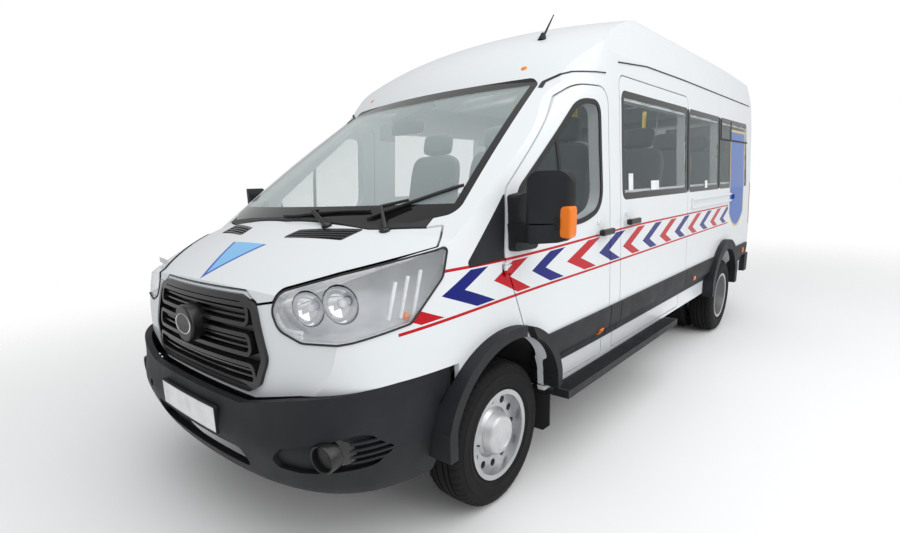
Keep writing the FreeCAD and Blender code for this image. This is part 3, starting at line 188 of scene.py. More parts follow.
class Finish:
    """A material: a base colour that masks are painted on, a roughness and bumps, all by object coordinates."""

    def __init__(self, name, colour, rough, metal=0.0, **sockets):
        self.mat = bpy.data.materials.new(name)
        self.mat.use_nodes = True
        self.tree = self.mat.node_tree
        self.shader = self.tree.nodes["Principled BSDF"]
        self.mat.diffuse_color = (*colour, 1.0)
        self.shader.inputs["Base Color"].default_value = (*colour, 1.0)
        self.shader.inputs["Roughness"].default_value = rough
        self.shader.inputs["Metallic"].default_value = metal
        for label, value in sockets.items():
            self.shader.inputs[label.replace("_", " ")].default_value = value
        self.coordinates = self.tree.nodes.new("ShaderNodeTexCoord").outputs["Object"]
        split = self.tree.nodes.new("ShaderNodeSeparateXYZ")
        self.tree.links.new(self.coordinates, split.inputs[0])
        self.x, self.y, self.z = (Term(self.tree, out) for out in split.outputs)
        self.colour = None
        self.base = (*colour, 1.0)
        self.normal = None

    def noise(self, scale, detail=2.0, stretch=(1.0, 1.0, 1.0), roughness=0.5):
        node = self.tree.nodes.new("ShaderNodeTexNoise")
        node.inputs["Scale"].default_value = scale
        node.inputs["Detail"].default_value = detail
        node.inputs["Roughness"].default_value = roughness
        self.tree.links.new(self._stretched(stretch), node.inputs["Vector"])
        return Term(self.tree, node.outputs["Fac"])

    def cells(self, scale, stretch=(1.0, 1.0, 1.0), feature="F1"):
        node = self.tree.nodes.new("ShaderNodeTexVoronoi")
        node.feature = feature
        node.inputs["Scale"].default_value = scale
        self.tree.links.new(self._stretched(stretch), node.inputs["Vector"])
        return Term(self.tree, node.outputs["Distance"])

    def _stretched(self, stretch):
        if tuple(stretch) == (1.0, 1.0, 1.0):
            return self.coordinates
        scaled = self.tree.nodes.new("ShaderNodeVectorMath")
        scaled.operation = "MULTIPLY"
        scaled.inputs[1].default_value = stretch
        self.tree.links.new(self.coordinates, scaled.inputs[0])
        return scaled.outputs[0]

    def paint(self, mask, colour):
        """Lays a colour over the base where the mask is 1."""
        mix = self.tree.nodes.new("ShaderNodeMix")
        mix.data_type = "RGBA"
        self.tree.links.new(mask.out, mix.inputs["Factor"])
        if self.colour is None:
            mix.inputs["A"].default_value = self.base
        else:
            self.tree.links.new(self.colour, mix.inputs[6])
        mix.inputs[6].default_value = self.base
        mix.inputs[7].default_value = (*colour, 1.0)
        self.colour = mix.outputs[2]
        self.tree.links.new(self.colour, self.shader.inputs["Base Color"])
        return self

    def rough(self, term):
        self.tree.links.new(term.out, self.shader.inputs["Roughness"])
        return self

    def clear(self, term):
        self.tree.links.new(term.out, self.shader.inputs["Alpha"])
        return self

    def bump(self, height, distance, strength=1.0):
        node = self.tree.nodes.new("ShaderNodeBump")
        node.inputs["Distance"].default_value = distance
        node.inputs["Strength"].default_value = strength
        self.tree.links.new(height.out, node.inputs["Height"])
        if self.normal is not None:
            self.tree.links.new(self.normal, node.inputs["Normal"])
        self.normal = node.outputs["Normal"]
        self.tree.links.new(self.normal, self.shader.inputs["Normal"])
        return self

    def gloss(self, least):
        """The part of the light that a clear pane throws back, the same on both of its faces."""
        node = self.tree.nodes.new("ShaderNodeLayerWeight")
        node.inputs["Blend"].default_value = 0.5
        return Term(self.tree, node.outputs["Facing"]).power(5.0) * (1.0 - least) + least


BLUE, RED = (0.003, 0.008, 0.17), (0.50, 0.003, 0.010)
SHIELD_BLUE = (0.012, 0.11, 0.46)


def white_paint():
    """Gloss white with two thin red lines along the flanks and red and blue arrows between them."""
    f = Finish("white_paint", (0.76, 0.79, 0.81), 0.25, Coat_Weight=0.1, Coat_Roughness=0.06,
               Specular_IOR_Level=0.25)
    along = f.x - AXLE
    dust = f.noise(3.0, 5.0) * (0.75 - f.z).ramp(0.0, 0.55)
    f.paint(dust * 0.35, (0.42, 0.42, 0.41))
    upper = (0.2 - along).ramp(0.0, 1.8) * 0.034 + 1.168
    dip = (along + 0.45).most(0.0)
    lower = 1.0086 - along * 0.0075 - dip * dip * 0.03
    middle = (0.5 - along).ramp(0.0, 0.5) * 0.017 + 1.075
    bulge = ((along + 0.36) / 0.4)
    bulge = (bulge * bulge * -1.0).maths("EXPONENT") * 0.07
    run = 0.403 - along + bulge - (f.z - middle).size() * 2.5
    arrow = run.remainder(0.3294) < 0.132
    red_turn = (run / 0.3294).floor().remainder(2.0) > 0.5
    outside = (f.y.size() > 0.90) & along.within(-3.86, 0.62)
    band = outside & (f.z > lower + 0.012) & (f.z < upper - 0.012)
    f.paint(band & arrow & (1.0 - red_turn), BLUE)
    f.paint(band & arrow & red_turn, RED)
    lines = ((f.z - upper).size() < 0.006) | ((f.z - lower).size() < 0.006)
    f.paint(outside & lines, RED)
    shield = f.y.size() > 0.86
    across = (along + 4.20) / 0.30
    foot = across * across * 0.14
    for grow, colour in ((0.022, (0.62, 0.45, 0.12)), (0.0, SHIELD_BLUE)):
        f.paint(shield & ((along + 4.20).size() < 0.28 + grow) & (f.z > foot + 1.00 - grow) & (f.z < 1.37), colour)
    wedge = (0.903 - along) * 0.57
    f.paint((f.y.size() < wedge) & along.within(0.645, 0.903) & (f.z > 1.1), (0.20, 0.52, 0.86))
    f.paint((f.y.size() < wedge) & (f.y.size() > wedge - 0.02) & along.within(0.645, 0.903) & (f.z > 1.1),
            (0.02, 0.10, 0.50))
    grips = (f.y.size() > 1.017) & f.z.within(1.180, 1.262) & (along < -0.80)
    f.paint(grips, (0.02, 0.02, 0.022))
    inside = (f.y.size() < 0.905) & f.z.within(0.64, 2.16) & along.within(-4.84, -1.12)
    f.paint(inside, (0.50, 0.51, 0.52))
    arches = (along.size() < 0.45) | ((along + 3.75).size() < 0.60)
    f.paint(arches & (f.y.size() < 0.935) & (f.z < 0.98), (0.012, 0.012, 0.013))
    f.bump(f.noise(420.0, 1.0), 0.0002, 0.25)
    f.rough(f.noise(6.0, 3.0) * 0.10 + 0.17)
    return f


def floor_finish():
    """Grey covering inside, black below and in the wheel arches."""
    f = Finish("floor_grey", (0.17, 0.17, 0.175), 0.8)
    arches = ((f.x - AXLE).size() < 0.62) | ((f.x - REAR_AXLE).size() < 0.60)
    f.paint((f.z < 0.68) | (arches & (f.z < 0.98)), (0.016, 0.016, 0.017))
    f.bump(f.noise(500.0, 2.0), 0.001, 0.4)
    f.rough(f.noise(14.0, 3.0) * 0.15 + 0.72)
    return f


def dark_trim():
    """Grained moulding, a little greyer where the weather reaches it."""
    f = Finish("dark_trim", (0.012, 0.013, 0.016), 0.5, Specular_IOR_Level=0.3)
    f.paint(f.noise(5.0, 4.0).ramp(0.45, 0.8) * 0.5, (0.026, 0.028, 0.032))
    f.bump(f.cells(900.0), 0.0006, 0.5)
    f.rough(f.noise(9.0, 3.0) * 0.25 + 0.42)
    return f


def plain(name, colour, rough, metal=0.0, grain=300.0, depth=0.0003, spread=0.08, **sockets):
    """A finish with a fine grain and a slightly uneven gloss and shade."""
    f = Finish(name, colour, rough, metal, **sockets)
    darker = tuple(0.72 * c for c in colour)
    f.paint(f.noise(11.0, 4.0).ramp(0.4, 0.75) * 0.6, darker)
    f.bump(f.noise(grain, 2.0), depth, 0.4)
    f.rough(f.noise(14.0, 3.0) * (2.0 * spread) + (rough - spread))
    return f


# The base colour is laid on at the least opacity; on the side and door panes it is a dark tint, on the windscreen a
# pale painted sky reflection.
def glazing(name, tint_and_painted_sky, least_opacity):
    f = Finish(name, tint_and_painted_sky, 0.02, IOR=1.5)
    return f, f.gloss(0.04) * (1.0 - least_opacity) + least_opacity


SIDE_PANES = [(-2.526, -1.237), (-3.475, -2.554), (-4.625, -3.485)]


def side_glazing():
    """Tinted panes with a black printed border and, at the back, a blue shield with a gold edge."""
    f, see = glazing("side_glazing", (0.10, 0.13, 0.13), 0.10)
    along = f.x - AXLE
    clear_area = None
    for rear, front in SIDE_PANES:
        area = along.within(rear + 0.04, front - 0.04)
        clear_area = area if clear_area is None else clear_area | area
    clear_area = clear_area & f.z.within(1.405, 1.948)
    shield = ((along + 4.20).size() < 0.28) & (f.z < 1.88)
    f.paint(((along + 4.20).size() < 0.302) & (f.z < 1.902), (0.62, 0.45, 0.12))
    f.paint(shield, SHIELD_BLUE)
    whole = ((along + 4.20).size() < 0.302) & (f.z < 1.902) & (f.x > -2.88)
    f.paint(1.0 - (clear_area | whole), (0.008, 0.008, 0.009))
    f.clear(see | (1.0 - clear_area) | whole)
    return f


def screen_glazing_painted_sky():
    # The pale colour at an even opacity of 0.17 is a painted sky reflection: a pale veil over the whole windscreen,
    # apart from the black printed band.
    f, see = glazing("screen_glazing_painted_sky", (0.62, 0.72, 0.71), 0.17)
    half = 0.880 - (f.z - 1.378) * 0.237
    band = (f.y.size() > half - 0.035) | (f.z > 1.975 + f.y.size() * 0.02) | (f.z < 1.415)
    f.paint(band, (0.008, 0.008, 0.009))
    f.clear(see | band)
    return f


def door_glazing():
    f, see = glazing("door_glazing", (0.12, 0.15, 0.15), 0.10)
    f.clear(see)
    return f


def lens(name, colour, least_opacity):
    f = Finish(name, colour, 0.05, IOR=1.5)
    f.clear(f.gloss(0.04) * (1.0 - least_opacity) + least_opacity)
    f.bump(((f.z * 900.0).sine()), 0.0004, 0.25)
    return f


FINISHES = {
    "white_paint": white_paint(),
    "dark_trim": dark_trim(),
    "grille_black": plain("grille_black", (0.010, 0.010, 0.011), 0.32, grain=500.0, Coat_Weight=0.2),
    "side_glass": side_glazing(),
    "screen_glass_painted_sky": screen_glazing_painted_sky(),
    "door_glass": door_glazing(),
    "lamp_clear": lens("lamp_clear", (0.85, 0.87, 0.89), 0.04),
    "lamp_red": lens("lamp_red", (0.45, 0.006, 0.008), 0.9),
    "lamp_amber": lens("lamp_amber", (0.95, 0.22, 0.005), 0.92),
    "lamp_silver": plain("lamp_silver", (0.80, 0.82, 0.84), 0.22, 0.55, grain=120.0, depth=0.0001),
    "lamp_glow": plain("lamp_glow", (0.85, 0.87, 0.9), 0.25, grain=200.0),
    "chrome": plain("chrome", (0.82, 0.83, 0.85), 0.09, 1.0, grain=90.0, depth=0.0001, spread=0.03),
    "plate_white": plain("plate_white", (0.85, 0.86, 0.86), 0.35, grain=400.0, depth=0.0001),
    "rubber": plain("rubber", (0.012, 0.012, 0.013), 0.6, grain=300.0),
    "gloss_black": plain("gloss_black", (0.011, 0.011, 0.012), 0.3, grain=500.0),
    "cap_silver": plain("cap_silver", (0.63, 0.64, 0.65), 0.36, 0.55, grain=200.0, depth=0.0001, spread=0.05),
    "mirror_glass": plain("mirror_glass", (0.75, 0.78, 0.80), 0.05, 1.0, grain=40.0, depth=0.00002, spread=0.02),
    "lining": plain("lining", (0.62, 0.63, 0.63), 0.85, grain=500.0),
    "yellow": plain("yellow", (0.80, 0.58, 0.02), 0.4, grain=200.0),
    "pad_cloth": plain("pad_cloth", (0.075, 0.083, 0.100), 0.9, grain=900.0, depth=0.0008, Sheen_Weight=0.3),
    "wheel_silver": plain("wheel_silver", (0.55, 0.56, 0.57), 0.32, 0.85, spread=0.1),
    "tyre_rubber": plain("tyre_rubber", (0.009, 0.009, 0.009), 0.72, grain=220.0, depth=0.0006,
                         Specular_IOR_Level=0.2),
    "chassis_steel": plain("chassis_steel", (0.030, 0.031, 0.033), 0.55, 0.2, grain=60.0, depth=0.001),
    "iron": plain("iron", (0.09, 0.085, 0.08), 0.65, 0.6, grain=80.0, depth=0.0015),
    "pipe_steel": plain("pipe_steel", (0.22, 0.19, 0.16), 0.5, 0.8, grain=40.0, depth=0.001),
    "flap_rubber": plain("flap_rubber", (0.012, 0.012, 0.013), 0.75, grain=150.0, depth=0.0008),
    "cabin_plastic": plain("cabin_plastic", (0.045, 0.047, 0.052), 0.6, grain=600.0, depth=0.0004),
    "floor_grey": floor_finish(),
    "seat_cloth": plain("seat_cloth", (0.060, 0.068, 0.085), 0.9, grain=700.0, depth=0.001),
}

NODE_FINISH = {
    "white_paint": ["side_left", "side_right", "roof", "roof_cap", "sliding_door", "front_door_left",
                    "front_door_right", "rear_door_left", "rear_door_right", "bonnet", "front_wings", "front_panel",
                    "slide_rail"],
    "dark_trim": ["side_cladding", "door_cladding_left", "door_cladding_right", "mirror_left", "mirror_right",
                  "front_bumper", "rear_bumper", "running_board", "antenna", "wipers"],
    "grille_black": ["grille", "bonnet_vents"],
    "screen_glass_painted_sky": ["windscreen"],
    "side_glass": ["side_glass", "rear_glass_left", "rear_glass_right"],
    "door_glass": ["door_glass_left", "door_glass_right"],
    "lamp_clear": ["headlamps"],
    "lamp_red": ["tail_lamps"],
    "lamp_amber": ["marker_lamps"],
    "wheel_silver": ["rim_front_left", "rim_front_right", "rim_rear_left", "rim_rear_right"],
    "tyre_rubber": ["tyre_front_left", "tyre_front_right", "tyres_rear_left", "tyres_rear_right"],
    "chassis_steel": ["underframe", "bumper_beam", "front_subframe", "fuel_tank", "scuttle"],
    "iron": ["engine_block", "rear_axle", "knuckle_left", "knuckle_right", "propshaft"],
    "pipe_steel": ["exhaust"],
    "flap_rubber": ["mud_flaps"],
    "cabin_plastic": ["dashboard", "steering_wheel"],
    "floor_grey": ["floor_pan"],
    "seat_cloth": ["front_seats", "passenger_seats"],
}
for finish, names in NODE_FINISH.items():
    for name in names:
        if name in NODES:
            data = NODES[name].data
            data.materials.clear()
            data.materials.append(FINISHES[finish].mat)


# building blocks for the pieces that dress the model
def at(along, across, high):
    """A point from millimetres ahead of the front axle, to the left and above the ground."""
    return Vector((AXLE + along / 1000.0, across / 1000.0, high / 1000.0))


def flipped(point):
    return Vector((point[0], -point[1], point[2]))


class Work:
    """Gathers closed shapes into one mesh."""

    def __init__(self):
        self.points, self.faces = [], []

    def add(self, points, faces):
        base = len(self.points)
        self.points += [Vector(point) for point in points]
        self.faces += [[base + index for index in face] for face in faces]
        return self

    def rings(self, rings, caps=True, loop=False):
        """Joins rings of equal length; each ring is a closed row of points."""
        count = len(rings[0])
        faces = []
        last = len(rings) if loop else len(rings) - 1
        for row in range(last):
            low, high = row * count, ((row + 1) % len(rings)) * count
            for place in range(count):
                after = (place + 1) % count
                faces.append((low + place, low + after, high + after, high + place))
        if caps and not loop:
            faces.append(tuple(reversed(range(count))))
            faces.append(tuple(range((len(rings) - 1) * count, len(rings) * count)))
        return self.add([point for ring in rings for point in ring], faces)

    def turned(self, centre, axis, profile, steps=64, loop=False):
        """A body of revolution; the profile is (along the axis, radius) and closes on itself if loop is set."""
        axis = Vector(axis).normalized()
        side = axis.orthogonal().normalized()
        other = axis.cross(side)
        rings = []
        for step in range(steps):
            angle = 2.0 * math.pi * step / steps
            out = side * math.cos(angle) + other * math.sin(angle)
            rings.append([Vector(centre) + axis * a + out * r for a, r in profile])
        count = len(profile)
        faces = []
        last = count if loop else count - 1
        for step in range(steps):
            low, high = step * count, ((step + 1) % steps) * count
            for place in range(last):
                after = (place + 1) % count
                faces.append((low + place, high + place, high + after, low + after))
        return self.add([point for ring in rings for point in ring], faces)

    def tube(self, path, radius, sides=10, loop=False):
        """A round bar along a path; the radius may be one number or one for each point."""
        path = [Vector(point) for point in path]
        radii = radius if isinstance(radius, (list, tuple)) else [radius] * len(path)
        rings = []
        guide = Vector((0.013, 0.029, 1.0)).normalized()
        for place, point in enumerate(path):
            before = path[place - 1] if place or loop else point
            after = path[(place + 1) % len(path)] if place + 1 < len(path) or loop else point
            ahead = (after - before).normalized()
            side = ahead.cross(guide)
            if side.length < 0.05:
                side = ahead.cross(Vector((1.0, 0.0, 0.0)))
            side.normalize()
            over = side.cross(ahead)
            rings.append([point + (side * math.cos(t) + over * math.sin(t)) * radii[place]
                          for t in (2.0 * math.pi * k / sides for k in range(sides))])
        return self.rings(rings, loop=loop)

    def slab(self, outline, push):
        """A flat outline of points pushed through a vector."""
        push = Vector(push)
        outline = [Vector(point) for point in outline]
        return self.rings([outline, [point + push for point in outline]])

    def box(self, low, high):
        (a, b, c), (d, e, f) = low, high
        return self.slab([(a, b, c), (d, b, c), (d, e, c), (a, e, c)], (0, 0, f - c))

    def soft_box(self, centre, half, axes=None, power=0.32, steps=24):
        """A box with full, rounded sides: a pad, a lamp or a moulded cap."""
        axes = axes or (Vector((1, 0, 0)), Vector((0, 1, 0)), Vector((0, 0, 1)))
        bend = lambda value: math.copysign(abs(value) ** power, value)
        rings = []
        rows = steps // 2
        for row in range(1, rows):
            up = math.pi * (row / rows - 0.5)
            ring = []
            for step in range(steps):
                turn = 2.0 * math.pi * (step + 0.5) / steps
                flat = bend(math.cos(up))
                parts = (bend(math.cos(turn)) * flat, bend(math.sin(turn)) * flat, bend(math.sin(up)))
                ring.append(Vector(centre) + sum((axis * part * size for axis, part, size in zip(axes, parts, half)),
                                                 Vector()))
            rings.append(ring)
        return self.rings(rings)

    def both(self):
        """Adds the mirror image, for pieces on both flanks of one body."""
        points, faces = list(self.points), list(self.faces)
        return self.add([flipped(point) for point in points], [tuple(reversed(face)) for face in faces])

    def make(self, name, finish, body="coach_body", slot=None, bevel=0.0, crease=35.0, replaces=(), right=False):
        mesh = bpy.data.meshes.new(name)
        points = [flipped(point) for point in self.points] if right else self.points
        mesh.from_pydata([tuple(point) for point in points], [], self.faces)
        work = bmesh.new()
        work.from_mesh(mesh)
        bmesh.ops.remove_doubles(work, verts=work.verts, dist=1e-6)
        bmesh.ops.recalc_face_normals(work, faces=work.faces)
        if bevel:
            sharp = [edge for edge in work.edges
                     if len(edge.link_faces) == 2 and edge.calc_face_angle(0.0) > math.radians(crease)]
            bmesh.ops.bevel(work, geom=sharp, offset=bevel, segments=2, profile=0.6, affect="EDGES",
                            clamp_overlap=True)
        for face in work.faces:
            face.smooth = True
        for edge in work.edges:
            edge.smooth = len(edge.link_faces) != 2 or edge.calc_face_angle(0.0) < math.radians(crease)
        work.to_mesh(mesh)
        work.free()
        obj = bpy.data.objects.new(name, mesh)
        bpy.context.scene.collection.objects.link(obj)
        mesh.materials.append(FINISHES[finish].mat)
        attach(obj, body)
        if replaces:
            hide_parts(*replaces)
        return obj


class Skin:
    """The outer surface of some nodes, onto which points are laid."""

    def __init__(self, *names):
        points, faces = [], []
        for name in names:
            obj = NODES[name]
            base = len(points)
            points += [obj.matrix_world @ vertex.co for vertex in obj.data.vertices]
            faces += [[base + index for index in polygon.vertices] for polygon in obj.data.polygons]
        self.tree = BVHTree.FromPolygons(points, faces)

    def hit(self, start, towards, lift=0.0):
        place, normal, _, _ = self.tree.ray_cast(start, towards)
        if place is None:
            place, normal, _, _ = self.tree.find_nearest(start + towards * 0.3)
        if normal.dot(towards) > 0:
            normal = -normal
        return place + normal * lift

    def side(self, along, high, lift=0.0, sign=1):
        """The point of the flank at a place (mm) ahead of the axle and above the ground."""
        start = at(along, 1600 * sign, high)
        return self.hit(start, Vector((0, -sign, 0)), lift / 1000.0)

    def front(self, across, high, lift=0.0):
        return self.hit(at(1400, across, high), Vector((-1, 0, 0)), lift / 1000.0)

    def top(self, along, across, lift=0.0):
        return self.hit(at(along, across, 3200), Vector((0, 0, -1)), lift / 1000.0)


def rounded_path(corners, radius, steps=5):
    """A closed flat path with round corners."""
    path = []
    count = len(corners)
    for place, (x, y) in enumerate(corners):
        before, after = corners[place - 1], corners[(place + 1) % count]
        here = Vector((x, y))
        back, on = Vector(before) - here, Vector(after) - here
        turn = radius if not isinstance(radius, (list, tuple)) else radius[place]
        reach = min(turn, 0.45 * back.length, 0.45 * on.length)
        start, end = here + back.normalized() * reach, here + on.normalized() * reach
        for step in range(steps + 1):
            t = step / steps
            path.append(start * (1 - t) ** 2 + here * (2 * t * (1 - t)) + end * t ** 2)
    return path


def dense(path, step, loop=False):
    """A path with no gap longer than a step."""
    out = []
    count = len(path)
    for place in range(count if loop else count - 1):
        a, b = Vector(path[place]), Vector(path[(place + 1) % count])
        parts = max(1, int(math.ceil((b - a).length / step)))
        out += [a + (b - a) * (k / parts) for k in range(parts)]
    if not loop:
        out.append(Vector(path[-1]))
    return out


def ribbon(work, lay, path, width, thick, loop=False, sink=3.0):
    """A moulding laid on a surface: lay(a, b, lift) gives the surface's point for a flat place."""
    rings = []
    count = len(path)
    for place, here in enumerate(path):
        before = path[place - 1] if place or loop else here
        after = path[(place + 1) % count] if place + 1 < count or loop else here
        ahead = (Vector(after) - Vector(before)).normalized()
        side = Vector((-ahead.y, ahead.x)) * (width / 2.0)
        left, right = Vector(here) + side, Vector(here) - side
        rings.append([lay(left.x, left.y, -sink), lay(left.x, left.y, thick), lay(right.x, right.y, thick),
                      lay(right.x, right.y, -sink)])
    return work.rings(rings, loop=loop)


def panel(work, lay, a_span, b_span, counts, thick, sink=2.0):
    """A thin sheet laid on a surface over a rectangle."""
    rows, columns = counts
    tops, lows = [], []
    for row in range(rows + 1):
        a = a_span[0] + (a_span[1] - a_span[0]) * row / rows
        for column in range(columns + 1):
            b = b_span[0] + (b_span[1] - b_span[0]) * column / columns
            tops.append(lay(a, b, thick))
            lows.append(lay(a, b, -sink))
    width = columns + 1
    total = len(tops)
    faces = []
    for row in range(rows):
        for column in range(columns):
            k = row * width + column
            faces.append((k, k + 1, k + width + 1, k + width))
            faces.append((total + k, total + k + width, total + k + width + 1, total + k + 1))
    edge = ([k for k in range(columns)] + [row * width + columns for row in range(rows)]
            + [rows * width + columns - k for k in range(columns)] + [(rows - row) * width for row in range(rows)])
    for place, k in enumerate(edge):
        n = edge[(place + 1) % len(edge)]
        faces.append((k, total + k, total + n, n))
    return work.add(tops + lows, faces)


SIDES = (("left", 1, False), ("right", -1, True))


# tyres with grooves and shoulder blocks, and the wheels' caps
TYRE_HALF = 0.098


def tyre(centre, outward):
    """One tyre: beads, ribbed sidewalls and a tread of grooved blocks."""
    side = [(0.083, 0.206), (0.083, 0.2165), (0.0865, 0.2205), (0.0935, 0.232), (0.0955, 0.2405), (0.0968, 0.2415),
            (0.0968, 0.2445), (0.0962, 0.2455), (0.0972, 0.262), (0.0980, 0.276), (0.0979, 0.288), (0.0986, 0.2895),
            (0.0986, 0.2925), (0.0968, 0.2940), (0.0945, 0.308), (0.0915, 0.318)]
    blocks = [(0.0875, 0.3265), (0.081, 0.3345), (0.0745, 0.3395), (0.060, 0.3425)]
    middle = [(0.0535, 0.3433), (0.0525, 0.3360), (0.0455, 0.3360), (0.0445, 0.3440), (0.0250, 0.3455),
              (0.0240, 0.3375), (0.0170, 0.3375), (0.0160, 0.3458), (0.0, 0.346)]
    half = [(y, r, 0) for y, r in side] + [(y, r, 1) for y, r in blocks] + [(y, r, 2) for y, r in middle]
    row = [(-y, r, kind) for y, r, kind in half] + [(y, r, kind) for y, r, kind in reversed(half[:-1])]
    pitches, parts = 56, 4
    steps = pitches * parts
    count = len(row)
    points, faces = [], []
    for step in range(steps):
        angle = 2.0 * math.pi * step / steps
        cut = step % parts == 0
        notch = step % parts == 2
        for y, r, kind in row:
            if cut and kind == 1 and abs(y) < 0.089:
                r -= 0.0065
            if notch and kind == 2 and 0.026 < abs(y) < 0.044:
                r -= 0.004
            shift = 0.35 * math.pi / steps * (1 if y > 0 else -1) if kind else 0.0
            points.append(Vector(centre) + Vector((math.cos(angle + shift) * r, y, math.sin(angle + shift) * r)))
    for step in range(steps):
        low, high = step * count, ((step + 1) % steps) * count
        for place in range(count):
            after = (place + 1) % count
            faces.append((low + place, high + place, high + after, low + after))
    return points, faces


HUB = {"left": 0.866, "right": -0.866}
for name, sign, right in SIDES:
    work = Work().add(*tyre((AXLE, 0.866, 0.346), 1))
    work.make(f"front_tyre_{name}", "tyre_rubber", f"wheel_front_{name}", crease=50, right=right,
              replaces=[f"tyre_front_{name}"])
    work = Work()
    for across in (0.708, 0.934):
        work.add(*tyre((REAR_AXLE, across, 0.346), 1))
    work.make(f"rear_tyres_{name}", "tyre_rubber", f"wheel_rear_{name}", crease=50, right=right,
              replaces=[f"tyres_rear_{name}"])
    cap = Work().turned((AXLE, 0.866, 0.346), (0, 1, 0),
                        [(0.040, 0.100), (0.047, 0.112), (0.052, 0.1115), (0.062, 0.104), (0.088, 0.095),
                         (0.097, 0.089), (0.101, 0.080), (0.102, 0.066), (0.100, 0.064), (0.100, 0.001)], 72)
    cap.make(f"front_cap_{name}", "cap_silver", f"wheel_front_{name}", right=right, slot="wheel_silver")
    nuts = Work()
    for k in range(6):
        angle = math.pi * (k + 0.5) / 3.0
        spot = (REAR_AXLE + math.cos(angle) * 0.086, 0.836, 0.346 + math.sin(angle) * 0.086)
        nuts.turned(spot, (0, 1, 0), [(-0.002, 0.016), (0.003, 0.016), (0.005, 0.012), (0.022, 0.012), (0.024, 0.009),
                                      (0.024, 0.0005)], 6)
    nuts.turned((REAR_AXLE, 0.821, 0.346), (0, 1, 0), [(0.014, 0.062), (0.056, 0.060), (0.066, 0.052), (0.066, 0.036),
                                                       (0.082, 0.033), (0.086, 0.026), (0.086, 0.0005)], 40)
    nuts.make(f"rear_hub_{name}", "wheel_silver", f"wheel_rear_{name}", right=right)
    valve = Work().tube([(AXLE + 0.165, 0.915, 0.346), (AXLE + 0.158, 0.935, 0.346), (AXLE + 0.150, 0.945, 0.346)],
                        [0.005, 0.004, 0.004], 8)
    valve.make(f"valve_{name}", "rubber", f"wheel_front_{name}", right=right)


# headlamps: a clear cover over a silvered housing with two bowls
def headlamp(name, sign, right):
    obj = NODES["headlamps"]
    facing = Vector((0.72, 0.69 * sign, 0.0))
    work = bmesh.new()
    work.from_mesh(obj.data)
    bmesh.ops.transform(work, matrix=obj.matrix_world, verts=work.verts)
    drop = [face for face in work.faces
            if face.normal.dot(facing) < 0.30 or face.calc_center_median().y * sign < 0]
    bmesh.ops.delete(work, geom=drop, context="FACES")
    bmesh.ops.remove_doubles(work, verts=work.verts, dist=1e-5)
    cover, shell = work.copy(), work.copy()
    rim = [edge for edge in work.edges if edge.is_boundary]
    chain = []
    if rim:
        here = rim[0].verts[0]
        edge = rim[0]
        while True:
            chain.append(here.co.copy())
            here = edge.other_vert(here)
            following = [e for e in here.link_edges if e.is_boundary and e is not edge]
            if here is rim[0].verts[0] or not following:
                break
            edge = following[0]
    work.free()
    for label, mesh, finish in ((f"lamp_cover_{name}", cover, "lamp_clear"), (f"lamp_house_{name}", shell, "lamp_silver")):
        data = bpy.data.meshes.new(label)
        if finish == "lamp_silver":
            bmesh.ops.translate(mesh, verts=mesh.verts, vec=(-0.004, -0.003 * sign, 0.0))
            border = [edge for edge in mesh.edges if edge.is_boundary]
            out = bmesh.ops.extrude_edge_only(mesh, edges=border)
            pushed = [item for item in out["geom"] if isinstance(item, bmesh.types.BMVert)]
            old_faces = [face for face in mesh.faces if all(not vert.is_boundary for vert in face.verts)]
            bmesh.ops.translate(mesh, verts=pushed, vec=(-0.085, -0.055 * sign, 0.0))
            flat = [face for face in mesh.faces if face.normal.dot(facing) > 0.30]
            bmesh.ops.delete(mesh, geom=flat, context="FACES")
            loop = [edge for edge in mesh.edges if edge.is_boundary
                    and all(vert in pushed for vert in edge.verts)]
            bmesh.ops.contextual_create(mesh, geom=loop)
        mesh.normal_update()
        for face in mesh.faces:
            face.smooth = True
        mesh.to_mesh(data)
        mesh.free()
        piece = bpy.data.objects.new(label, data)
        bpy.context.scene.collection.objects.link(piece)
        data.materials.append(FINISHES[finish].mat)
        if finish == "lamp_clear":
            thick = piece.modifiers.new("wall", "SOLIDIFY")
            thick.thickness = 0.003
            thick.offset = -1.0
        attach(piece, "coach_body")
    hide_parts("headlamps")
    return chain


def bowl(work, centre, facing, radius, depth):
    work.turned(centre, facing, [(0.0, radius), (-0.1 * depth, 0.985 * radius), (-0.45 * depth, 0.80 * radius),
                                 (-0.80 * depth, 0.48 * radius), (-depth, 0.16 * radius), (-depth, 0.001),
                                 (-1.06 * depth, 0.001), (-1.06 * depth, 0.2 * radius), (-0.84 * depth, 0.55 * radius),
                                 (-0.46 * depth, 0.86 * radius), (0.0, radius + 0.004)], 48)


lamp_skin = Skin("headlamps")
for name, sign, right in SIDES:
    rim = headlamp(name, sign, right)
    if len(rim) > 8:
        Work().tube([point + Vector((0.001, 0.001 * sign, 0)) for point in rim], 0.0042, 8, loop=True).make(
            f"lamp_seal_{name}", "rubber")
bowls, inner, amber, shade = Work(), Work(), Work(), Work()
toward = Vector((0.93, 0.36, -0.05)).normalized()
for across, high, radius, depth in ((668, 1068, 0.066, 0.055), (800, 1092, 0.070, 0.058)):
    spot = lamp_skin.hit(at(1400, across, high), Vector((-1, 0, 0)))
    centre = spot - Vector((0.040, 0.012, 0.0))
    bowl(bowls, centre, toward, radius, depth)
    inner.turned(centre - toward * 0.03, toward, [(-0.02, 0.016), (0.012, 0.016), (0.020, 0.010), (0.022, 0.0005)], 24)
for low, high in ((0, 26), (26, 52)):
    edge = []
    for k in range(15):
        t = k / 14.0
        across = 610 + 300 * t
        level = 985 + 4 * t + low * (1 - 0.3 * t)
        spot = lamp_skin.hit(at(1400, across, level + 20), Vector((-0.8, -0.6, 0)).normalized())
        edge.append(spot - Vector((0.028, 0.020, 0.0)))
    inner.tube(edge, 0.0085, 8)
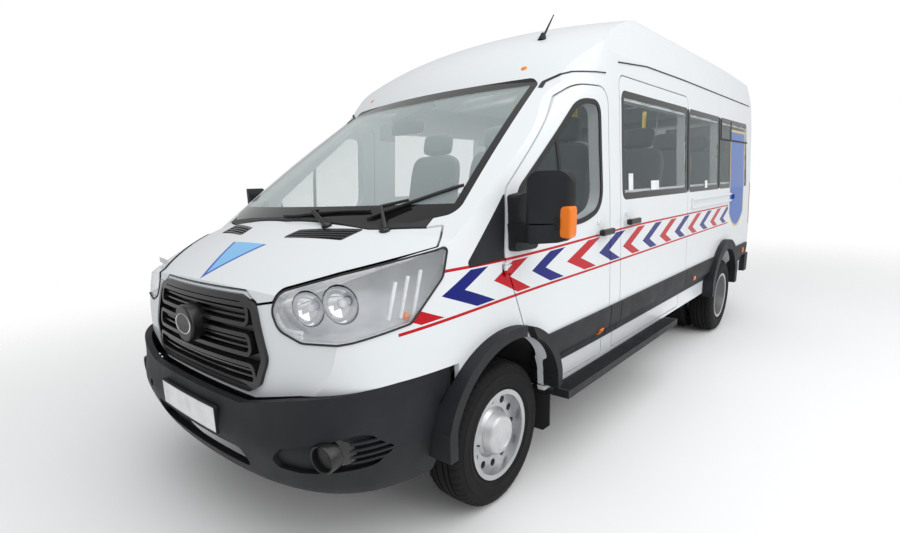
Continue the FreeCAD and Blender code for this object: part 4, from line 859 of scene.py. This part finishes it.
for shift in (0, 50, 100):
    fin = []
    for k in range(13):
        high = 1022 + (160 - 0.3 * shift) * k / 12.0
        start = at(1100, 1300, high)
        aim = at(500 - 4 * k + shift, 905 - 0.4 * shift, high)
        fin.append(lamp_skin.hit(start, (aim - start).normalized()) - Vector((0.026, 0.022, 0.0)))
    inner.tube(fin, 0.0075, 8)
spot = lamp_skin.hit(at(1100, 1300, 1010), Vector((-0.85, -0.62, 0)).normalized())
amber.soft_box(spot - Vector((0.05, 0.035, -0.01)), (0.016, 0.016, 0.016), power=0.9)
for label, work, finish in (("lamp_bowls", bowls, "chrome"), ("lamp_bars", inner, "lamp_glow"),
                            ("lamp_bulbs", amber, "lamp_amber")):
    work.both().make(label, finish, slot="lamp_lens")

# bumper: fog lamps, and a blank plate in a frame
front_skin = Skin("front_bumper")
fogs = Work()
fogs.turned(at(905, 808, 562), (1, 0.15, 0), [(-0.05, 0.056), (0.0, 0.056), (0.008, 0.052), (0.004, 0.047), (-0.02, 0.043),
                                            (-0.03, 0.001)], 40)
fogs.both().make("fog_lamps", "gloss_black")
spans = [-260, -130, 0, 130, 260]
depths = {y: front_skin.front(y, 600).x for y in spans}
middle = max(depths.values())
ends = (depths[260] + depths[-260]) / 2.0


def on_plate(across, high, lift):
    fall = min(middle - ends, 0.022) * (across / 260.0) ** 2
    return Vector((middle + 0.006 + lift / 1000.0 - fall, across / 1000.0, high / 1000.0))


panel(Work(), on_plate, (-260, 260), (535, 646), (20, 3), 4.0, 8.0).make("front_plate", "plate_white", bevel=0.0)
border = rounded_path([(-263, 532), (263, 532), (263, 649), (-263, 649)], 8, 3)
ribbon(Work(), on_plate, dense(border, 40, True), 7, 6.0, loop=True, sink=9.0).make("plate_frame", "dark_trim")

# grille badge, left blank
badge = Work()
badge.turned(at(992, 0, 954), (1, 0, 0.03), [(-0.02, 0.001), (-0.02, 0.080), (0.004, 0.080), (0.008, 0.076), (0.008, 0.001)], 64)
badge.make("grille_boss", "gloss_black")
ring = Work()
ring.turned(at(999, 0, 954), (1, 0, 0.03), [(-0.004, 0.074), (0.002, 0.073), (0.004, 0.069), (0.002, 0.066), (-0.004, 0.065)],
            64, loop=True)
for point in ring.points:
    point.z = 0.954 + (point.z - 0.954) * 0.62
ring.make("grille_ring", "chrome", slot="lamp_lens")

# wipers that follow the screen
screen = Skin("windscreen")


def on_screen(point, lift):
    start = at(*point)
    outward = Vector((0.62, 0.18 * (1 if point[1] > 0 else -1), 0.76)).normalized()
    return screen.hit(start + outward * 0.5, -outward, lift / 1000.0)


wipers = Work()
for ends, root, elbow in ((((412, -23, 1360), (311, 492, 1384)), (440, 330, 1330), (400, 200, 1375)),
                          (((354, 510, 1352), (59, 816, 1475)), (380, 640, 1310), (300, 560, 1385))):
    first, last = Vector(ends[0]), Vector(ends[1])
    line = [on_screen(first + (last - first) * t, 9.0) for t in (k / 12.0 for k in range(13))]
    wipers.tube(line, [0.004] + [0.007] * 11 + [0.004], 8)
    wipers.tube([point - Vector((0.0, 0.0, 0.006)) for point in line], 0.0035, 6)
    middle_point = on_screen(first + (last - first) * 0.45, 24.0)
    wipers.tube([at(*root), on_screen(Vector(elbow), 34.0), middle_point], [0.013, 0.010, 0.006], 10)
    wipers.turned(at(*root), (0.25, 0, 1), [(-0.03, 0.024), (0.012, 0.024), (0.018, 0.017), (0.018, 0.0005)], 24)
wipers.make("wiper_arms", "gloss_black", slot="dark_trim", replaces=["wipers"])

# mirrors: amber lamps and the glass behind
for name, sign, right in SIDES:
    body = f"front_door_{name}_body"
    glow = Work().soft_box(at(-84, 1219, 1325), (0.033, 0.0245, 0.064), power=0.28, steps=32)
    glow.make(f"repeater_{name}", "lamp_amber", body, right=right, slot="lamp_lens")
    glass = Work().slab([at(-134, 1088, 1342), at(-134, 1214, 1342), at(-134, 1212, 1486), at(-134, 1180, 1512),
                         at(-134, 1104, 1512), at(-134, 1088, 1494)], (0.004, 0, 0))
    glass.slab([at(-134, 1092, 1262), at(-134, 1208, 1262), at(-134, 1212, 1308), at(-134, 1090, 1308)], (0.004, 0, 0))
    glass.make(f"mirror_glass_{name}", "mirror_glass", body, right=right, slot="lamp_lens")

# door windows: rubber frames and the quarter bars
for name, sign, right in SIDES:
    body = f"front_door_{name}_body"
    door = Skin("front_door_left", "door_glass_left")
    lay = lambda a, b, lift: door.side(a, b, lift)
    pane = rounded_path([(-945, 1340), (-945, 1890), (-760, 1890), (-140, 1455), (-90, 1310), (-700, 1275)],
                        [150, 70, 150, 40, 60, 200], 7)
    frame_work = ribbon(Work(), lay, dense(pane, 45, True), 26, 2.5, loop=True)
    ribbon(frame_work, lay, dense([Vector((-486, 1302)), Vector((-486, 1690))], 30), 24, 3.5)
    frame_work.make(f"door_seal_{name}", "rubber", body, right=right)

# flank fittings: drip strips, lock discs, side markers, blank stickers
flank = Skin("side_left", "roof_cap", "sliding_door", "front_door_left", "roof", "side_glass", "side_cladding",
             "door_glass_left")
lay_left = lambda a, b, lift: flank.side(a, b, lift)
door_tree = Skin("front_door_left")
drips = Work()
over_door = [(-668, 1965), (-744, 2014), (-775, 2033), (-820, 2044), (-907, 2045), (-1043, 2051)]
ribbon(drips, lay_left, dense([Vector(place) for place in over_door], 30), 5, 4.0)
drips.both().make("drip_strips", "rubber")
gutter = [(-1215, 2129), (-1675, 2165), (-2443, 2173), (-4700, 2173)]
ribbon(Work(), lay_left, dense([Vector(place) for place in gutter], 60), 6, 4.0).both().make("gutter_strips", "rubber")
markers, lamps_work = Work(), Work()
for rear, front, low, high in ((-949, -905, 630, 648), (-2787, -2745, 657, 674), (-4651, -4436, 683, 716)):
    if rear > -1030:
        continue
    if rear < -4000:
        rear, front = -4560, -4516
    panel(lamps_work, lay_left, (rear, front), (low - 6, high + 8), (4, 2), 9.0)
lamps_work.both().make("side_markers", "lamp_amber", slot="lamp_lens")
for name, sign, right in SIDES:
    cladding = Skin("door_cladding_left")
    lay = lambda a, b, lift: cladding.side(a, b, lift)
    panel(Work(), lay, (-952, -904), (624, 656), (4, 2), 9.0).make(f"door_marker_{name}", "lamp_amber",
                                                                f"front_door_{name}_body", right=right, slot="lamp_lens")
locks = Work()
for along, high in ((-1290, 1288),):
    spot = flank.side(along, high)
    locks.turned(spot, (0, 1, 0), [(-0.004, 0.017), (0.004, 0.017), (0.006, 0.014), (0.006, 0.0005)], 24)
locks.make("slide_lock", "white_paint")
for name, sign, right in SIDES:
    spot = door_tree.side(-900, 1262)
    Work().turned(spot, (0, 1, 0), [(-0.004, 0.017), (0.004, 0.017), (0.006, 0.014), (0.006, 0.0005)], 24).make(
        f"door_lock_{name}", "white_paint", f"front_door_{name}_body", right=right)
stickers = Work()
for along, high, wide, tall in ((-1370, 1467, 70, 100), (-1797, 1439, 150, 60), (-3052, 1418, 70, 60)):
    panel(stickers, lay_left, (along - wide / 2, along + wide / 2), (high - tall / 2, high + tall / 2), (3, 3), 1.5, 0.5)
stickers.make("blank_stickers", "plate_white", slot="white_paint")
bars = Work()
for along in (-3535, -3900):
    ribbon(bars, lay_left, dense([Vector((along, 1800)), Vector((along, 1968))], 40), 14, 3.0)
ribbon(bars, lay_left, dense([Vector((-3485, 1800)), Vector((-4600, 1800))], 60), 14, 3.0)
for along in (-2540, -3480):
    ribbon(bars, lay_left, dense([Vector((along, 1372)), Vector((along, 1978))], 60), 30, 2.0)
bars.both().make("window_bars", "rubber")

# running board treads
treads = Work()
for k in range(7):
    across = 1010 + 11 * k
    treads.box(at(-2130, across, 458), at(-440, across + 4, 463.5))
for along in range(-2100, -460, 120):
    treads.box(at(along, 1008, 458), at(along + 5, 1084, 462.5))
treads.make("board_treads", "dark_trim", bevel=0.0)


# seats: crowned pads on plain frames
SEAT_TOP = 1090.0
PLACES = [("cab", -600, across) for across in (-400, 160, 600)]
PLACES += [("row", ahead, across) for ahead in (-1850, -2600, -3350, -4100) for across in (-700, -255, 620)]


def seat_pads(label, ahead, across):
    lean = 0.22
    length = math.sqrt(1.0 + lean * lean)
    up = Vector((-lean / length, 0.0, 1.0 / length))
    forward = Vector((1.0 / length, 0.0, lean / length))
    wide = Vector((0.0, 1.0, 0.0))
    cushion = Work().soft_box(at(ahead - 222, across, SEAT_TOP - 52), (0.222, 0.222, 0.060), power=0.34, steps=32)
    points = []
    for point in cushion.points:
        local = point - at(ahead - 222, across, SEAT_TOP - 52)
        side_roll = 0.014 * max(0.0, abs(local.y) / 0.222 - 0.55) ** 1.5 * 3.0
        rib = 0.0022 * math.cos(local.x * 52.0) if local.z > 0.02 and abs(local.y) < 0.16 else 0.0
        points.append(point + Vector((0.0, 0.0, side_roll + rib if local.z > 0 else 0.0)))
    cushion.points = points
    middle = at(ahead - 445 - 60 + 22, across, SEAT_TOP - 40) + up * 0.335
    back = Work().soft_box(middle, (0.052, 0.212, 0.345), (forward, wide, up), power=0.34, steps=32)
    points = []
    for point in back.points:
        local = point - middle
        front_side = local.dot(forward) > 0.012
        bulge = 0.020 * max(0.0, abs(local.y) / 0.212 - 0.5) if front_side else 0.0
        rib = 0.0022 * math.cos(local.dot(up) * 48.0) if front_side and abs(local.y) < 0.14 else 0.0
        points.append(point + forward * (bulge + rib))
    back.points = points
    top = middle + up * 0.428 + forward * 0.006
    rest = Work().soft_box(top, (0.044, 0.122, 0.074), (forward, wide, up), power=0.42, steps=28)
    for part, work, fill in (("cushion", cushion, 0.75), ("back", back, 0.75), ("rest", rest, 0.8)):
        piece = work.make(f"{label}_{part}", "pad_cloth", slot="seat_cloth", crease=60)
    return middle, up, forward, top


frames = {"cab": Work(), "row": Work()}
for count, (kind, ahead, across) in enumerate(PLACES):
    middle, up, forward, top = seat_pads(f"seat_{count + 1:02d}", ahead, across)
    work = frames[kind]
    base = 842 if kind == "row" and ahead == -3350 and abs(across) > 500 else 660
    work.box(at(ahead - 385, across - 88, base), at(ahead - 107, across + 88, SEAT_TOP - 108))
    work.box(at(ahead - 430, across - 205, SEAT_TOP - 122), at(ahead - 12, across + 205, SEAT_TOP - 88))
    for side in (-1, 1):
        foot = top - up * 0.04 + Vector((0, 0.045 * side, 0))
        work.tube([foot - up * 0.09, foot], 0.006, 8)
        if kind == "row":
            pivot = middle + Vector((0.04, 0.226 * side, 0)) - up * 0.10
            if abs(across + side * 240) < 880:
                work.tube([pivot, pivot + Vector((0.09, 0, 0.006)), pivot + Vector((0.27, 0, 0.012))],
                          [0.017, 0.017, 0.013], 10)
for kind, node in (("cab", "front_seats"), ("row", "passenger_seats")):
    frames[kind].make(f"{kind}_seat_frames", "cabin_plastic", bevel=0.004, replaces=[node])

# cabin fittings: grab poles, mirror, sensor housing, dash details, steering wheel stalks
poles = Work()
for along, across in ((-1330, 640), (-1815, 560), (-2480, -480), (-3250, 400)):
    poles.tube([at(along, across, 661), at(along, across, 2290)], 0.016, 14)
poles.tube([at(-1320, 870, 1060), at(-1320, 640, 1060)], 0.014, 12)
poles.make("grab_poles", "yellow", slot="cabin_plastic")
view = Work()
view.soft_box(at(-470, 0, 1835), (0.014, 0.125, 0.034), power=0.35)
view.tube([at(-470, 0, 1850), at(-500, 0, 1905)], 0.007, 8)
view.make("inner_mirror", "cabin_plastic")
hood = Work()
hood.slab([on_screen((-600, -110, 1975), -9.5), on_screen((-600, 110, 1975), -9.5), on_screen((-450, 60, 1850), -9.5),
           on_screen((-405, 0, 1815), -9.5), on_screen((-450, -60, 1850), -9.5)], (-0.02, 0, -0.035))
hood.make("sensor_hood", "cabin_plastic")
dash = Work()
dash.soft_box(at(-312, -400, 1285), (0.045, 0.17, 0.045), power=0.4)
dash.soft_box(at(-318, 40, 1200), (0.028, 0.15, 0.11), power=0.3)
for across in (-720, -150, 130, 720):
    dash.soft_box(at(-322, across, 1215), (0.012, 0.055, 0.036), power=0.3)
dash.tube([at(-395, -400 - 60, 1180), at(-410, -400 - 175, 1195)], 0.007, 8)
dash.tube([at(-395, -400 + 60, 1180), at(-410, -400 + 175, 1195)], 0.007, 8)
dash.make("dash_details", "cabin_plastic", crease=45)
blind = Work()
for across in (-420, 420):
    blind.soft_box(at(-690, across, 1945), (0.075, 0.20, 0.010), (Vector((0.86, 0, -0.5)), Vector((0, 1, 0)),
                                                               Vector((0.5, 0, 0.86))), power=0.3)
blind.make("sun_visors", "lining", slot="cabin_plastic")

# tail: lamp segments, high stop lamp, a handle
tail = -2.9305
for name, sign, right in SIDES:
    lamp_work = Work()
    for low, high in ((975, 1085), (1100, 1235), (1250, 1385)):
        lamp_work.box(Vector((tail - 0.0125, 0.872, low / 1000)), Vector((tail - 0.004, 0.925, high / 1000)))
    lamp_work.make(f"tail_segments_{name}", "lamp_red", right=right, bevel=0.003)
stop = Work().soft_box(Vector((tail + 0.004, 0.0, 2.215)), (0.012, 0.16, 0.014), power=0.3)
stop.make("high_stop_lamp", "lamp_red", slot="lamp_red")
grip = Work().box(Vector((tail - 0.024, -0.115, 1.145)), Vector((tail - 0.004, -0.025, 1.185)))
grip.make("tail_grip", "dark_trim", "rear_door_right_body", bevel=0.006)


def floor():
    f = Finish("studio_floor", (0.955, 0.958, 0.962), 0.9, Specular_IOR_Level=0.1)
    f.rough(f.noise(2.0, 2.0) * 0.1 + 0.85)
    far = ((f.x * f.x) * 0.35 + f.y * f.y).power(0.5)
    f.clear(1.0 - far.ramp(2.2, 6.5))
    data = bpy.data.meshes.new("floor")
    reach = 60.0
    data.from_pydata([(-reach, -reach, 0), (reach, -reach, 0), (reach, reach, 0), (-reach, reach, 0)], [], [(0, 1, 2, 3)])
    data.materials.append(f.mat)
    ground = bpy.data.objects.new("floor", data)
    ground.location.z = -0.002
    bpy.context.scene.collection.objects.link(ground)


floor()
